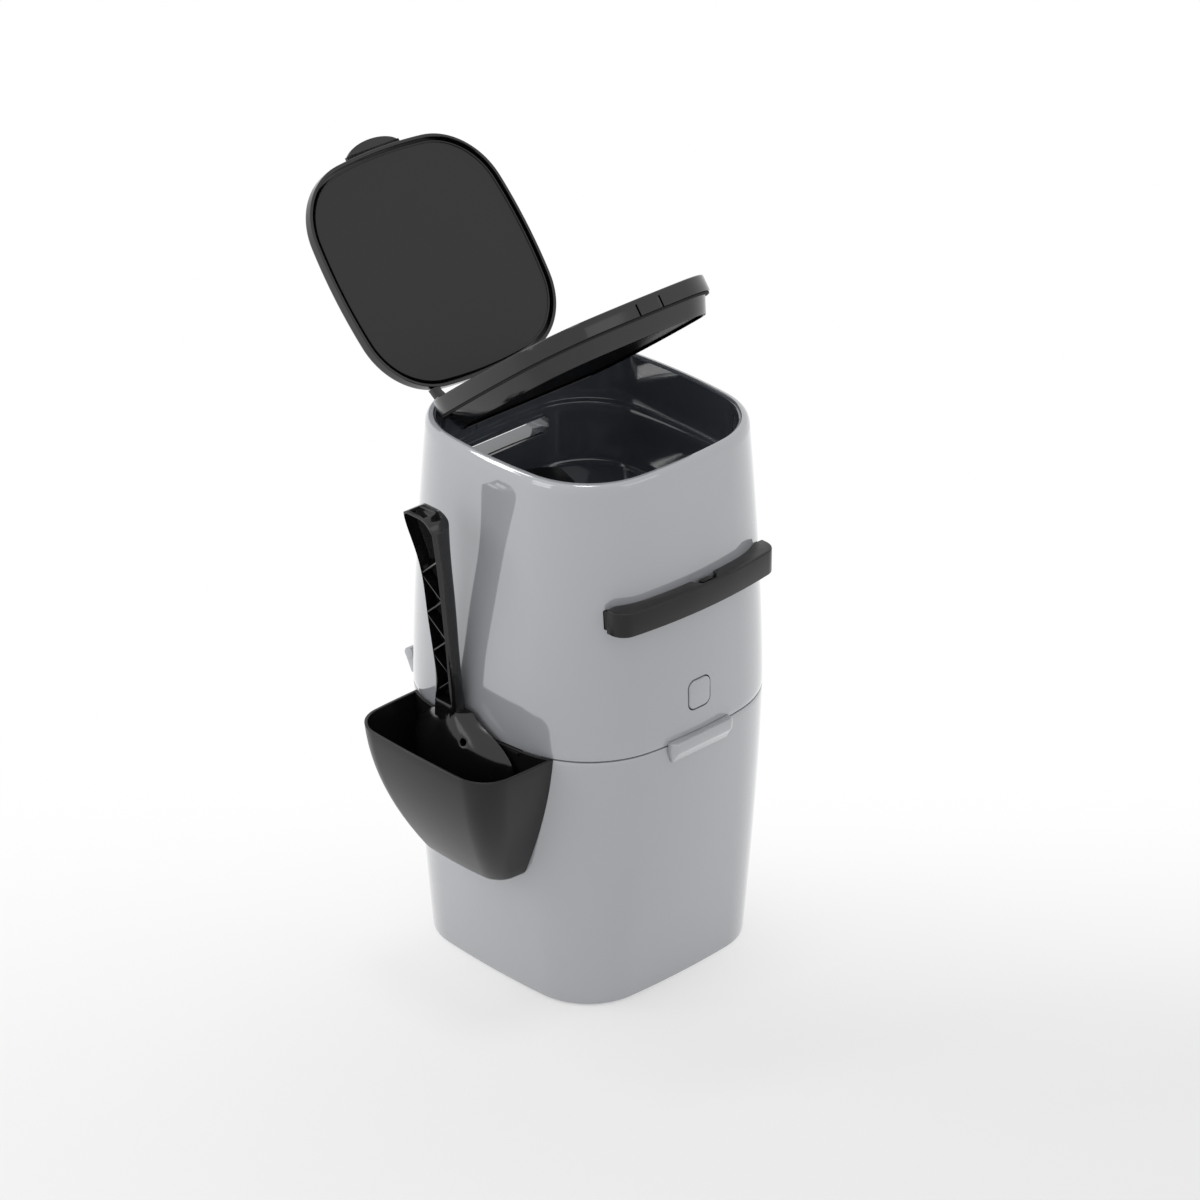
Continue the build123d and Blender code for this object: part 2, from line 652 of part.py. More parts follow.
def clamp_frame():
    """Tray under the floor of the well that carries the sliding jaw."""
    top_z = well_floor_z - well_floor_thick
    low_z = frame_plate_z - frame_plate_thick
    middle_y = (frame_front_y + frame_rear_y) / 2
    plan = Pos(0, middle_y) * RectangleRounded(2 * frame_half_x, frame_rear_y - frame_front_y, frame_corner)
    plate = prism_z(plan, low_z, frame_plate_z)
    opening = Pos(0, (throat_front_y + throat_rear_y) / 2) * RectangleRounded(
        2 * throat_half_x, throat_rear_y - throat_front_y, throat_corner)
    solid = plate - prism_z(opening, low_z - 1, frame_plate_z + 1)
    rail_x = arm_outer_x + slide_gap
    rail = block((rail_x, rail_x + rail_thick), (frame_front_y + 6, frame_rear_y - 14), (low_z, top_z))
    for y in (-boss_y, boss_y):
        rail += bar_z(boss_radius, low_z, top_z, boss_x, y)
    rail -= block((0, rail_x), (-100, 100), (frame_plate_z, top_z + 1))
    post = block((spring_x - 5, spring_x + 5), (spring_post_y, spring_post_y + spring_post_thick),
                 (low_z, arm_high_z))
    half = both_sides(rail + post)
    solid += half
    for x in (-boss_x, boss_x):
        for y in (-boss_y, boss_y):
            solid -= bar_z(screw_radius, low_z - 1, top_z + 1, x, y)
            solid -= bar_z(screw_head_radius, low_z - 1, low_z + 1.0, x, y)
    return solid


def clamp_screws():
    low_z = frame_plate_z - frame_plate_thick
    return [screw(x, y, low_z, well_floor_z - 0.6) for x in (-boss_x, boss_x) for y in (-boss_y, boss_y)]


def coil(radius, wire, length, turns):
    """A coil spring of square wire along +Z from the origin, with flat ends."""
    half = wire / 2
    path = Helix(pitch=(length - wire) / turns, height=length - wire, radius=radius - half)
    start = path @ 0
    section = Plane(origin=start, z_dir=path % 0, x_dir=(1, 0, 0)) * Rectangle(wire, wire)
    return Pos(0, 0, half) * sweep(section, path=path, is_frenet=True)


def return_spring(side):
    length = spring_post_y - crossbar_rear_y
    spring = coil(spring_radius, spring_wire, length, spring_turns)
    return Pos(side * spring_x, crossbar_rear_y, (arm_low_z + arm_high_z) / 2) * Rot(-90, 0, 0) * spring


# ---- release button and latch ----

def release_button():
    face_y = -body_depth(button_z) - button_proud
    seat_y = face_y + wall + button_proud + 1.0
    outline = Pos(0, button_z) * RectangleRounded(button_width, button_height, button_corner - 0.5)
    cap = prism_y(outline, face_y, seat_y + 0.5)
    cap = fillet(cap.faces().sort_by(Axis.Y)[0].edges(), 0.8)
    flange = Pos(0, button_z) * RectangleRounded(button_width + 2 * button_flange,
                                                 button_height + 2 * button_flange, button_corner)
    cap += prism_y(flange, seat_y, seat_y + 1.6)
    cap -= prism_y(Pos(0, button_z) * RectangleRounded(button_width - 5, button_height - 5, 3), face_y + 2.2,
                   seat_y + 3)
    cap += block((-4, 4), (face_y + 2, hook_front_y), (button_z - 4, button_z + 4))
    return cap


def latch_hook():
    y = hook_front_y
    plate = block((-hook_half, hook_half), (y, y + hook_thick), (hook_low_z, hook_high_z))
    nose = prism_x(make_face(Polyline((y + 0.5, hook_low_z), (catch_edge_y + latch_gap, hook_low_z + 1.2),
                                      (catch_edge_y + latch_gap, hook_nose_z), (y + 0.5, hook_nose_z),
                                      close=True)), -hook_half, hook_half)
    solid = plate + nose
    solid -= Pos(0, 0, 0) * block((-4, 4), (y + 1.0, y + hook_thick + 1), (206, 226))
    return solid


def button_spring():
    start = hook_front_y + hook_thick
    length = latch_cover_back_y - latch_cover_wall - start
    spring = coil(button_spring_radius, button_spring_wire * 2, length, button_spring_turns)
    return Pos(0, start, button_z) * Rot(-90, 0, 0) * spring


def latch_cover():
    half, low_z, high_z = latch_cover_half, latch_cover_low_z, latch_cover_high_z
    t = latch_cover_wall
    solid = block((-half, half), (-115, latch_cover_back_y), (low_z, high_z))
    solid -= block((-half + t, half - t), (-116, latch_cover_back_y - t), (low_z + t, high_z - t))
    solid -= block((-hook_half - 1, hook_half + 1), (-116, hook_front_y + hook_thick + button_travel + 1),
                   (low_z - 1, low_z + t + 1))
    return solid & body_stack(split_z + split_gap / 2 - 1, rim_z - lip_depth, wall)


# ---- lids ----

def opened(solid, angle):
    """Turn a piece of a lid from the closed place to the open one."""
    there = Pos(0, lid_hinge_y, lid_hinge_z)
    back = Pos(0, -lid_hinge_y, -lid_hinge_z)
    return there * Rot(-angle, 0, 0) * back * solid


def lid_hinge_pin():
    return bar_x(lid_pin_radius, -lid_pin_half, lid_pin_half, lid_hinge_y, lid_hinge_z)


def lid_arm(span, wall_y, low_z, high_z, crown, knee_y=None):
    """An arm from the lids' axis to the rear wall of a lid; crown is its height over the axis.

    Up to knee_y its underside stays level, so that it passes over the rear of the other lid.
    """
    low, high = span
    r = lid_knuckle_radius
    y, z = lid_hinge_y, lid_hinge_z
    under = [(wall_y, low_z)] if knee_y is None else [(wall_y, low_z), (knee_y, low_z)]
    web = prism_x(make_face(Polyline((y, z + crown), (wall_y, high_z), *under, (y, z - r), close=True)), low, high)
    return bar_x(r, low, high, y, z) + web


def outer_outline(inset=0.0):
    return Pos(0, outer_centre_y) * bowed_square(outer_half_x - inset, outer_half_y - inset,
                                                 outer_corner - inset, outer_bow)


def outer_lid():
    low_z, high_z = outer_low_z, outer_low_z + outer_depth
    solid = prism_z(outer_outline(), low_z, high_z)
    solid = fillet(solid.faces().sort_by(Axis.Z)[-1].edges(), outer_round)
    solid -= prism_z(outer_outline(outer_wall), low_z - 1, high_z - outer_top)
    # thumb tab at the free edge
    front_y = outer_centre_y - outer_half_y
    tab = make_face([
        ThreePointArc((-tab_half, front_y + 1), (0, front_y - tab_reach), (tab_half, front_y + 1)),
        Line((tab_half, front_y + 1), (tab_half, front_y + 6)),
        Line((tab_half, front_y + 6), (-tab_half, front_y + 6)),
        Line((-tab_half, front_y + 6), (-tab_half, front_y + 1)),
    ])
    solid += prism_z(tab, tab_low_z, tab_low_z + tab_thick) - prism_z(outer_outline(outer_wall), 0, high_z - 0.5)
    # posts for the inner panel
    for x in (-55, 55):
        for y in (-55, 50):
            solid += bar_z(panel_post_radius, low_z + panel_recess + panel_thick, high_z - 1, x, y)
    arms = both_sides(lid_arm(outer_arm, outer_centre_y + outer_half_y - 6.0, low_z + 0.3, low_z + 6.0,
                              lid_knuckle_radius, inner_rear_y + 0.7))
    solid += arms - prism_z(outer_outline(outer_wall), 0, high_z + 1)
    solid -= bar_x(lid_pin_radius + pin_clearance, -lid_pin_half - 1, lid_pin_half + 1, lid_hinge_y, lid_hinge_z)
    return opened(solid, outer_lid_angle)


def outer_lid_panel():
    low_z = outer_low_z + panel_recess
    solid = prism_z(outer_outline(panel_inset), low_z, low_z + panel_thick)
    bead = prism_z(outer_outline(panel_inset), low_z - 0.7, low_z + 0.1)
    solid += bead - prism_z(outer_outline(panel_inset + panel_bead), low_z - 1, low_z + 0.2)
    return opened(solid, outer_lid_angle)


def inner_outline(inset=0.0):
    outline = Pos(0, inner_centre_y) * bowed_square(inner_half_x - inset, inner_half_y - inset, inner_corner - inset, inner_bow)
    limit = Pos(0, inner_rear_y - inset - 150) * Rectangle(300, 300)
    return outline & limit


def inner_lid():
    low_z = inner_top_z - flange_depth
    solid = prism_z(inner_outline(), low_z, inner_top_z)
    solid = fillet(solid.faces().sort_by(Axis.Z)[-1].edges(), 1.0)
    solid -= prism_z(inner_outline(lid_wall), low_z - 1, inner_top_z - 2.0)
    # gap for the clip at the front
    front_y = inner_centre_y - inner_half_y
    x = clip_x
    gap = clip_width / 2 + 1.6
    solid -= block((x - gap, x + gap), (front_y - 1, front_y + 3), (low_z - 1, inner_top_z - 4))
    arms = both_sides(lid_arm(inner_arm, inner_rear_y - 0.5, lid_hinge_z - 8, lid_hinge_z - 0.3, -0.3))
    solid += arms - prism_z(inner_outline(lid_wall), 0, 500)
    solid -= bar_x(lid_pin_radius + pin_clearance, -lid_pin_half - 1, lid_pin_half + 1, lid_hinge_y, lid_hinge_z)
    return opened(solid, inner_lid_angle)


def inner_lid_clip():
    """Sprung clip in the gap at the front of the inner lid."""
    low_z = inner_top_z - flange_depth
    front_y = inner_centre_y - inner_half_y
    x, half = clip_x, clip_width / 2
    face = make_face(Polyline((front_y + 0.2, low_z + 1), (front_y + 0.2, inner_top_z - 4.4),
                              (front_y + 2.4, inner_top_z - 4.4), (front_y + 2.4, inner_top_z - 2),
                              (front_y + 4.4, inner_top_z - 2), (front_y + 4.4, inner_top_z - 6.4),
                              (front_y + 2.0, inner_top_z - 6.4), (front_y + 2.0, low_z + 1), close=True))
    return opened(prism_x(face, x - half, x + half), inner_lid_angle)


def dish_outline(z, grow=0.0):
    """Outline of the dish under the inner lid at height z."""
    top_z = inner_top_z - flange_depth
    share = (top_z - z) / dish_depth
    inset = dish_inset + share * dish_taper - grow
    outline = Pos(0, inner_centre_y) * bowed_square(inner_half_x - inset, inner_half_y - inset - share * 1.6,
                                         inner_corner - inset, inner_bow)
    return Pos(0, 0, z) * outline


def inner_lid_dish():
    high_z = inner_top_z - flange_depth - seal_thick
    low_z = inner_top_z - flange_depth - dish_depth
    rear = lambda grow: prism_x(make_face(Polyline((-150, high_z + 1), (inner_rear_y - 2 + grow, high_z + 1),
                                                   (inner_rear_y - 14 + grow, low_z - 1), (-150, low_z - 1),
                                                   close=True)), -150, 150)
    outer = loft([dish_outline(low_z), dish_outline(high_z)]) & rear(0)
    inner = loft([dish_outline(low_z + 4, -lid_wall), dish_outline(high_z + 1, -lid_wall)]) & rear(-lid_wall)
    under = loft([dish_outline(low_z - 1, -lid_wall), dish_outline(low_z + 2, -lid_wall)]) & rear(-lid_wall)
    return opened(outer - inner - under, inner_lid_angle)


def inner_lid_seal():
    high_z = inner_top_z - flange_depth
    ring = prism_z(inner_outline(lid_seal_reach), high_z - seal_thick, high_z)
    ring -= prism_z(inner_outline(lid_seal_reach + 5.0), high_z - seal_thick - 1, high_z + 1)
    return opened(ring, inner_lid_angle)


# ---- scoop and its holder ----

def holder_outline(z, inset=0.0):
    share = (z - holder_low_z) / (holder_top_z - holder_low_z)
    arch = 4 * share * (1 - share)
    reach = holder_low_reach + (holder_top_reach - holder_low_reach) * share + holder_reach_bulge * arch - inset
    half = holder_low_half + (holder_top_half - holder_low_half) * share + holder_half_bulge * arch - inset
    corner = holder_corner_low + (holder_corner_top - holder_corner_low) * share - inset
    inner_x = 40.0
    return Pos(-(reach + inner_x) / 2, 0, z) * bowed_square((reach - inner_x) / 2, half, corner, holder_bow)


def holder_stack(low_z, high_z, inset=0.0, count=5):
    step = (high_z - low_z) / (count - 1)
    return loft([holder_outline(low_z + i * step, inset) for i in range(count)])


def scoop_holder():
    outer = holder_stack(holder_low_z, holder_top_z)
    outer = fillet(outer.faces().sort_by(Axis.Z)[0].edges(), 5.0)
    pocket = holder_stack(holder_low_z + holder_wall, holder_top_z + 2, holder_wall)
    near = body_stack(holder_low_z - 10, holder_top_z + 20, -holder_gap, 4)
    lined = body_stack(holder_low_z - 10, holder_top_z + 20, -holder_gap - holder_wall, 4)
    solid = outer - near - (pocket - lined)
    for side in (-1, 1):
        y = side * hook_y
        wide = (y - hook_width / 2, y + hook_width / 2)
        wall_x = -side_shape(hook_plate_z)[0]
        drop_x = wall_x + wall + seam_clearance + tongue_thick + 4.4
        plate = block((wall_x - 1.2, drop_x + hook_drop_thick), wide, (hook_plate_z - hook_plate, hook_plate_z))
        drop = block((drop_x, drop_x + hook_drop_thick), wide, (hook_plate_z - hook_drop, hook_plate_z))
        solid += plate + drop
    return solid


def blade_section(station, inset=0.0):
    """One section of the blade: an arc that bulges away from the body, closed by its chord."""
    z, low_y, high_y, edge_x, spine_x = station
    low, high, edge = low_y + inset, high_y - inset, edge_x + (0.5 if inset else 0)
    arc = ThreePointArc((edge, low), (spine_x + inset, (low_y + high_y) / 2), (edge, high))
    return Pos(0, 0, z) * make_face([arc, Line((edge, high), (edge, low))])


def handle_section(station):
    z, x, y, deep, wide = station
    return Pos(x, y, z) * RectangleRounded(deep, wide, 3.6)


def handle_profile(inset):
    """The handle seen from the side: straight walls, closed by an arch with two different corners."""
    z, x, y, deep, wide = handle_stations[-1]
    low, high, top = y - wide / 2 - 8, y + wide / 2, handle_end_z - inset
    left, right = low + 8 + inset, high - inset
    near, far = handle_end_rounds
    near, far = near - inset, far - inset
    arch = make_face([
        Line((left, 200), (left, top - near)),
        RadiusArc((left, top - near), (left + near, top), near),
        Line((left + near, top), (right - far, top)),
        RadiusArc((right - far, top), (right, top - far), far),
        Line((right, top - far), (right, 200)),
        Line((right, 200), (left, 200)),
    ])
    return prism_x(arch, -170, -100)


def scoop():
    outer = loft([blade_section(station) for station in blade_stations])
    bowl = loft([blade_section(station, scoop_wall) for station in blade_stations[:-1]])
    solid = outer - bowl
    middle_y = 6.0
    for i in range(scoop_slot_count):
        y = middle_y + (i - (scoop_slot_count - 1) / 2) * scoop_slot_pitch
        centre_z = 148.0
        slot = Pos(-125, y, centre_z) * Rot(0, 90, 0) * extrude(
            SlotOverall(scoop_slot_length, scoop_slot_width), amount=20, both=True)
        solid -= slot
    solid -= Pos(-122, -8, 203) * Rot(0, 90, 0) * Cylinder(scoop_hole_radius, 30)
    # handle, closed by an arch at its end
    handle = loft([handle_section(station) for station in handle_stations]) & handle_profile(0)
    solid += handle - bowl
    # channel along the outside of the handle, with zigzag ribs
    def gutter(depth):
        sections = [Pos(x - deep / 2 + depth / 2 - 1, y, z) * Rectangle(depth + 2, wide - 2 * channel_wall)
                    for z, x, y, deep, wide in handle_stations[1:]]
        return loft(sections) & handle_profile(channel_wall)
    ribs = None
    for i in range(rib_count):
        z0 = channel_low_z + i * rib_pitch
        way = 1 if i % 2 else -1
        a, b = 13 - way * 12, 13 + way * 12
        rib = Pos(-130, 0, 0) * prism_x(make_face(Polyline(
            (a, z0), (b, z0 + rib_pitch * 1.3), (b, z0 + rib_pitch * 1.3 + rib_thick * 1.6), (a, z0 + rib_thick * 1.6),
            close=True)), -25, 25)
        ribs = rib if ribs is None else ribs + rib
    solid -= gutter(channel_depth) - ribs
    solid -= gutter(rib_sunk)
    # window in the arch
    z, x, y, deep, wide = handle_stations[-1]
    front = x - deep / 2 + channel_wall
    solid -= block((front, front + hang_depth), (y - hang_width / 2 + 2, y + hang_width / 2 + 2),
                   (handle_end_z - 9, handle_end_z + 5))
    return solid


save("lower_bin", lower_bin())
save("body_hinge_pin", body_hinge_pin())
save("scoop_holder", scoop_holder())
save("scoop", scoop())
save("upper_shell", upper_shell())
save("well_liner", well_liner())
save("clamp_frame", clamp_frame())
save("clamp_screws", *clamp_screws())
save("rear_jaw", rear_jaw())
save("rear_jaw_pad", rear_jaw_pad())
save("front_jaw", front_jaw())
save("front_jaw_pad", front_jaw_pad())
save("pull_handle", pull_handle())
save("handle_screws", *handle_screws())
save("return_spring_left", return_spring(-1))
save("return_spring_right", return_spring(1))
save("release_button", release_button())
save("latch_hook", latch_hook())
save("button_spring", button_spring())
save("latch_cover", latch_cover())
save("lid_hinge_pin", lid_hinge_pin())
save("outer_lid", outer_lid())
save("outer_lid_panel", outer_lid_panel())
save("inner_lid", inner_lid())
save("inner_lid_dish", inner_lid_dish())
save("inner_lid_clip", inner_lid_clip())
save("inner_lid_seal", inner_lid_seal())
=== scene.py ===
import bpy
import bmesh
from math import atan2, cos, pi, radians, sin
from mathutils import Matrix, Vector


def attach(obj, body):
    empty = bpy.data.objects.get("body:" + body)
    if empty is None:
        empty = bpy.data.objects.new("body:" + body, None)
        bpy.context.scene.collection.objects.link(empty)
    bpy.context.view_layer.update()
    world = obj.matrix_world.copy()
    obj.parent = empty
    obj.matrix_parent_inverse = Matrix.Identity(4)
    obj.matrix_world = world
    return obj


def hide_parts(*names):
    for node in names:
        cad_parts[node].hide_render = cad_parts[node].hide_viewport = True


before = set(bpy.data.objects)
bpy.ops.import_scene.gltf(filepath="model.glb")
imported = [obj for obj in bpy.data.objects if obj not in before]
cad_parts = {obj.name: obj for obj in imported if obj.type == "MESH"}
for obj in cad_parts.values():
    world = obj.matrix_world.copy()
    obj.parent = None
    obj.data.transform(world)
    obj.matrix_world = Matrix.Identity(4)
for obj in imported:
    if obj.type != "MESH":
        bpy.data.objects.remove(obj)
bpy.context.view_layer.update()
print("frame loaded:", len(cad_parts), "nodes")

mm = 0.001  # the pieces are written in millimetres


# camera: stands where the photograph was taken

view = {
    "place": (-2362.68, -2466.24, 2087.20),
    "ahead": (0.61192, 0.63552, -0.47082),
    "lens": 165.85,
    "sensor": 36.0,
    "near": 0.1,
    "far": 60,
}
cameraData = bpy.data.cameras.new("camera")
cameraData.lens = view["lens"]
cameraData.sensor_width = view["sensor"]
cameraData.clip_start = view["near"]
cameraData.clip_end = view["far"]
camera = bpy.data.objects.new("camera", cameraData)
bpy.context.collection.objects.link(camera)
camera.location = Vector(view["place"]) * mm
camera.rotation_euler = Vector(view["ahead"]).to_track_quat("-Z", "Y").to_euler()
bpy.context.scene.camera = camera
print("camera set")


# finishes

class Wire:
    # one socket in a material, so that a pattern can be written as a sum
    def __init__(self, paint, socket):
        self.paint, self.socket = paint, socket

    def math(self, kind, other, swap=False):
        pair = (other, self) if swap else (self, other)
        return self.paint.node("Math", {"operation": kind}, {0: pair[0], 1: pair[1]})

    def __add__(self, other): return self.math("ADD", other)
    def __radd__(self, other): return self.math("ADD", other, True)
    def __mul__(self, other): return self.math("MULTIPLY", other)
    def __rmul__(self, other): return self.math("MULTIPLY", other, True)


class Paint:
    # the nodes of a material, or of the world
    def __init__(self, owner):
        owner.use_nodes = True
        self.owner, self.tree = owner, owner.node_tree
        self.tree.nodes.clear()

    def node(self, kind, settings, sockets, out=0):
        made = self.tree.nodes.new("ShaderNode" + kind)
        for key, value in settings.items():
            setattr(made, key, value)
        for key, value in sockets.items():
            if isinstance(value, Wire):
                self.tree.links.new(value.socket, made.inputs[key])
            else:
                made.inputs[key].default_value = value
        return Wire(self, made.outputs[out])

    def place(self):
        return self.node("TexCoord", {}, {}, "Object")

    def noise(self, size, detail=2.0, rough=0.5):
        return self.node("TexNoise", {}, {
            "Vector": self.place(), "Scale": size, "Detail": detail, "Roughness": rough})

    def mix(self, amount, first, second):
        return self.node("MixRGB", {}, {0: amount, 1: first, 2: second})

    def seen(self):
        # 1 for what the camera sees, straight, mirrored or through something, and 0 for plain light
        rays = [self.node("LightPath", {}, {}, "Is %s Ray" % kind)
                for kind in ("Camera", "Glossy", "Transmission")]
        return rays[0].math("MAXIMUM", rays[1]).math("MAXIMUM", rays[2])

    def finish(self, shader, kind="Material"):
        out = self.tree.nodes.new("ShaderNodeOutput" + kind)
        self.tree.links.new(shader.socket, out.inputs["Surface"])
        return self.owner


plastics = {
    "greyShell": {
        "colour": (0.350, 0.360, 0.383), "shade": 0.012,
        "rough": 0.06, "ior": 1.88, "coat": 1.0,
        "coatRough": 0.02, "peel": 22, "peelHeight": 0.00002},
    # painted shade: the shell's grey darkened to the shade inside the well, also used for the clamp frame and
    # latch cover
    "greyInPaintedShade": {
        "colour": (0.092, 0.102, 0.122), "shade": 0.05,
        "rough": 0.07, "ior": 1.7, "coat": 0.6,
        "coatRough": 0.03, "peel": 30, "peelHeight": 0.00001},
    "blackGloss": {
        "colour": (0.0045, 0.0045, 0.0048), "shade": 0.10,
        "rough": 0.13, "ior": 1.5, "coat": 0.1,
        "coatRough": 0.03, "peel": 40, "peelHeight": 0.00001},
    "blackSatin": {
        "colour": (0.0065, 0.0065, 0.0068), "shade": 0.10,
        "rough": 0.30, "ior": 1.40, "coat": 0.0,
        "coatRough": 0.2, "peel": 900, "peelHeight": 0.00001},
    "blackPanel": {
        "colour": (0.0060, 0.0060, 0.0062), "shade": 0.08,
        "rough": 0.36, "ior": 1.44, "coat": 0.0,
        "coatRough": 0.2, "peel": 700, "peelHeight": 0.00001},
    # painted shade: a darker, duller black for faces that look down, standing in for the shade under the lid
    "undersidePaintedShade": {
        "colour": (0.0035, 0.0035, 0.0037), "shade": 0.08,
        "rough": 0.45, "ior": 1.16, "coat": 0.0,
        "coatRough": 0.2, "peel": 700, "peelHeight": 0.00001},
    "softBlack": {
        "colour": (0.0080, 0.0080, 0.0080), "shade": 0.10,
        "rough": 0.75, "ior": 1.40, "coat": 0.0,
        "coatRough": 0.3, "peel": 1200, "peelHeight": 0.00002},
}


def makePlastic(name):
    look = plastics[name]
    paint = Paint(bpy.data.materials.new(name))
    cloud = paint.noise(9)
    fine = paint.noise(look["peel"])
    dark = tuple(c * (1 - look["shade"]) for c in look["colour"]) + (1,)
    light = tuple(c * (1 + look["shade"]) for c in look["colour"]) + (1,)
    colour = paint.mix(cloud, dark, light)
    rough = look["rough"] * 0.9 + cloud * (look["rough"] * 0.2)
    bump = paint.node("Bump", {}, {"Height": fine, "Strength": 1.0, "Distance": look["peelHeight"]})
    shader = paint.node("BsdfPrincipled", {}, {
        "Base Color": colour, "Roughness": rough, "Normal": bump, "IOR": look["ior"],
        "Coat Weight": look["coat"], "Coat Roughness": look["coatRough"]})
    return paint.finish(shader)


def makeSteel():
    paint = Paint(bpy.data.materials.new("plainSteel"))
    streak = paint.noise(300)
    shader = paint.node("BsdfPrincipled", {}, {
        "Base Color": (0.55, 0.55, 0.56, 1), "Metallic": 1.0, "Roughness": 0.24 + streak * 0.14})
    return paint.finish(shader)


finishes = {name: makePlastic(name) for name in plastics}
finishes["plainSteel"] = makeSteel()
print("finishes made:", len(finishes))


# outlines

form = {
    "rim": 410.0, "split": 203.6, "gap": 1.0, "widest": 210.0,
    "widestHalf": 109.4, "baseHalf": 93.6, "rimHalf": 97.1, "deeper": 1.022,
    "lowerCurve": 1.58, "upperCurve": 1.53,
    "base": (47.6, 5.6), "middle": (72.1, 14.0), "top": (60.6, 9.0),
    "wall": 2.6, "lip": 5.0,
    "sideSteps": 22, "cornerSteps": 22,
}


def bowedSquare(halfX, halfY, corner, bow):
    # quarter of the outline: right side, rounded corner, top side; then mirrored to the rest
    rightR = ((halfY - bow) ** 2 + bow ** 2) / (2 * bow)
    topR = ((halfX - bow) ** 2 + bow ** 2) / (2 * bow)
    a, b = Vector((halfX - rightR, 0)), Vector((0, halfY - topR))
    reachA, reachB = rightR - corner, topR - corner
    apart = (b - a).length
    along = (reachA ** 2 - reachB ** 2 + apart ** 2) / (2 * apart)
    off = max(reachA ** 2 - along ** 2, 0) ** 0.5
    way = (b - a) / apart
    centre = a + way * along + Vector((-way.y, way.x)) * off
    if centre.x < 0 or centre.y < 0:
        centre = a + way * along - Vector((-way.y, way.x)) * off
    sideTurn = atan2(centre.y - a.y, centre.x - a.x)
    topTurn = atan2(centre.y - b.y, centre.x - b.x)
    quarter = []
    for i in range(form["sideSteps"]):
        t = sideTurn * i / form["sideSteps"]
        quarter.append((a.x + rightR * cos(t), a.y + rightR * sin(t)))
    for i in range(form["cornerSteps"]):
        t = sideTurn + (topTurn - sideTurn) * i / form["cornerSteps"]
        quarter.append((centre.x + corner * cos(t), centre.y + corner * sin(t)))
    for i in range(form["sideSteps"]):
        t = topTurn + (pi / 2 - topTurn) * i / form["sideSteps"]
        quarter.append((b.x + topR * cos(t), b.y + topR * sin(t)))
    end = [(0.0, halfY)]
    second = [(-x, y) for x, y in reversed(quarter[1:])]
    half = quarter + end + second
    return half + [(-x, -y) for x, y in half]


def sideShape(z):
    if z <= form["widest"]:
        share = ((form["widest"] - z) / form["widest"]) ** form["lowerCurve"]
        last = (form["baseHalf"],) + form["base"]
    else:
        share = ((z - form["widest"]) / (form["rim"] - form["widest"])) ** form["upperCurve"]
        last = (form["rimHalf"],) + form["top"]
    first = (form["widestHalf"],) + form["middle"]
    return [f + (l - f) * share for f, l in zip(first, last)]


def bodyRing(z, inset=0.0, height=None):
    half, corner, bow = sideShape(z)
    flat = bowedSquare(half - inset, half * form["deeper"] - inset, corner - inset, bow)
    return [(x, y, z if height is None else height) for x, y in flat]


def mouthRing(z, inset=0.0):
    half, lip = form["rimHalf"], form["lip"]
    corner, bow = form["top"]
    flat = bowedSquare(half - lip - inset, half * form["deeper"] - lip - inset, corner - lip - inset, bow)
    return [(x, y, z) for x, y in flat]


def spread(low, high, step):
    count = max(1, int(abs(high - low) / step + 0.5))
    return [low + (high - low) * i / count for i in range(count + 1)]


def quarterTurns(steps, first=1):
    return [pi / 2 * i / steps for i in range(first, steps + 1)]


# hand tools

def deselect():
    for thing in bpy.context.selected_objects:
        thing.select_set(False)


def pick(thing):
    deselect()
    bpy.context.view_layer.objects.active = thing
    thing.select_set(True)


def added(name):
    piece = bpy.context.object
    piece.name = piece.data.name = name
    return piece


def liftRings(name, rings, closeEnds=True):
    # a circle laid on the first outline, then extruded from outline to outline
    deselect()
    bpy.ops.mesh.primitive_circle_add(vertices=len(rings[0]), radius=0.1)
    piece = added(name)
    order = {}
    for vert, spot in zip(piece.data.vertices, rings[0]):
        vert.co = Vector(spot) * mm
        order[vert.index] = vert.index
    bpy.ops.object.mode_set(mode="EDIT")
    bpy.ops.mesh.select_all(action="SELECT")
    for ring in rings[1:]:
        bpy.ops.mesh.extrude_region_move()
        mesh = bmesh.from_edit_mesh(piece.data)
        mesh.verts.index_update()
        raised = {}
        for vert in mesh.verts:
            if vert.select:
                below = next(e.other_vert(vert) for e in vert.link_edges if not e.other_vert(vert).select)
                raised[vert.index] = order[below.index]
                vert.co = Vector(ring[order[below.index]]) * mm
        order = raised
        bmesh.update_edit_mesh(piece.data)
    bpy.ops.mesh.select_all(action="SELECT")
    bpy.ops.mesh.remove_doubles(threshold=0.000002)
    if closeEnds:
        bpy.ops.mesh.fill_holes(sides=0)
    bpy.ops.mesh.select_all(action="SELECT")
    bpy.ops.mesh.normals_make_consistent(inside=False)
    bpy.ops.object.mode_set(mode="OBJECT")
    return piece


def applied(piece, kind, **settings):
    change = piece.modifiers.new("change", kind)
    for key, value in settings.items():
        setattr(change, key, value)
    pick(piece)
    bpy.ops.object.modifier_apply(modifier=change.name)
    return piece


def cutAway(piece, *cutters):
    for cutter in cutters:
        applied(piece, "BOOLEAN", operation="DIFFERENCE", solver="EXACT", object=cutter)
        bpy.data.objects.remove(cutter, do_unlink=True)
    return piece


def roundEdges(piece, width, angle=50, steps=2):
    return applied(piece, "BEVEL", width=width * mm, segments=steps, limit_method="ANGLE",
                   angle_limit=radians(angle), use_clamp_overlap=True)


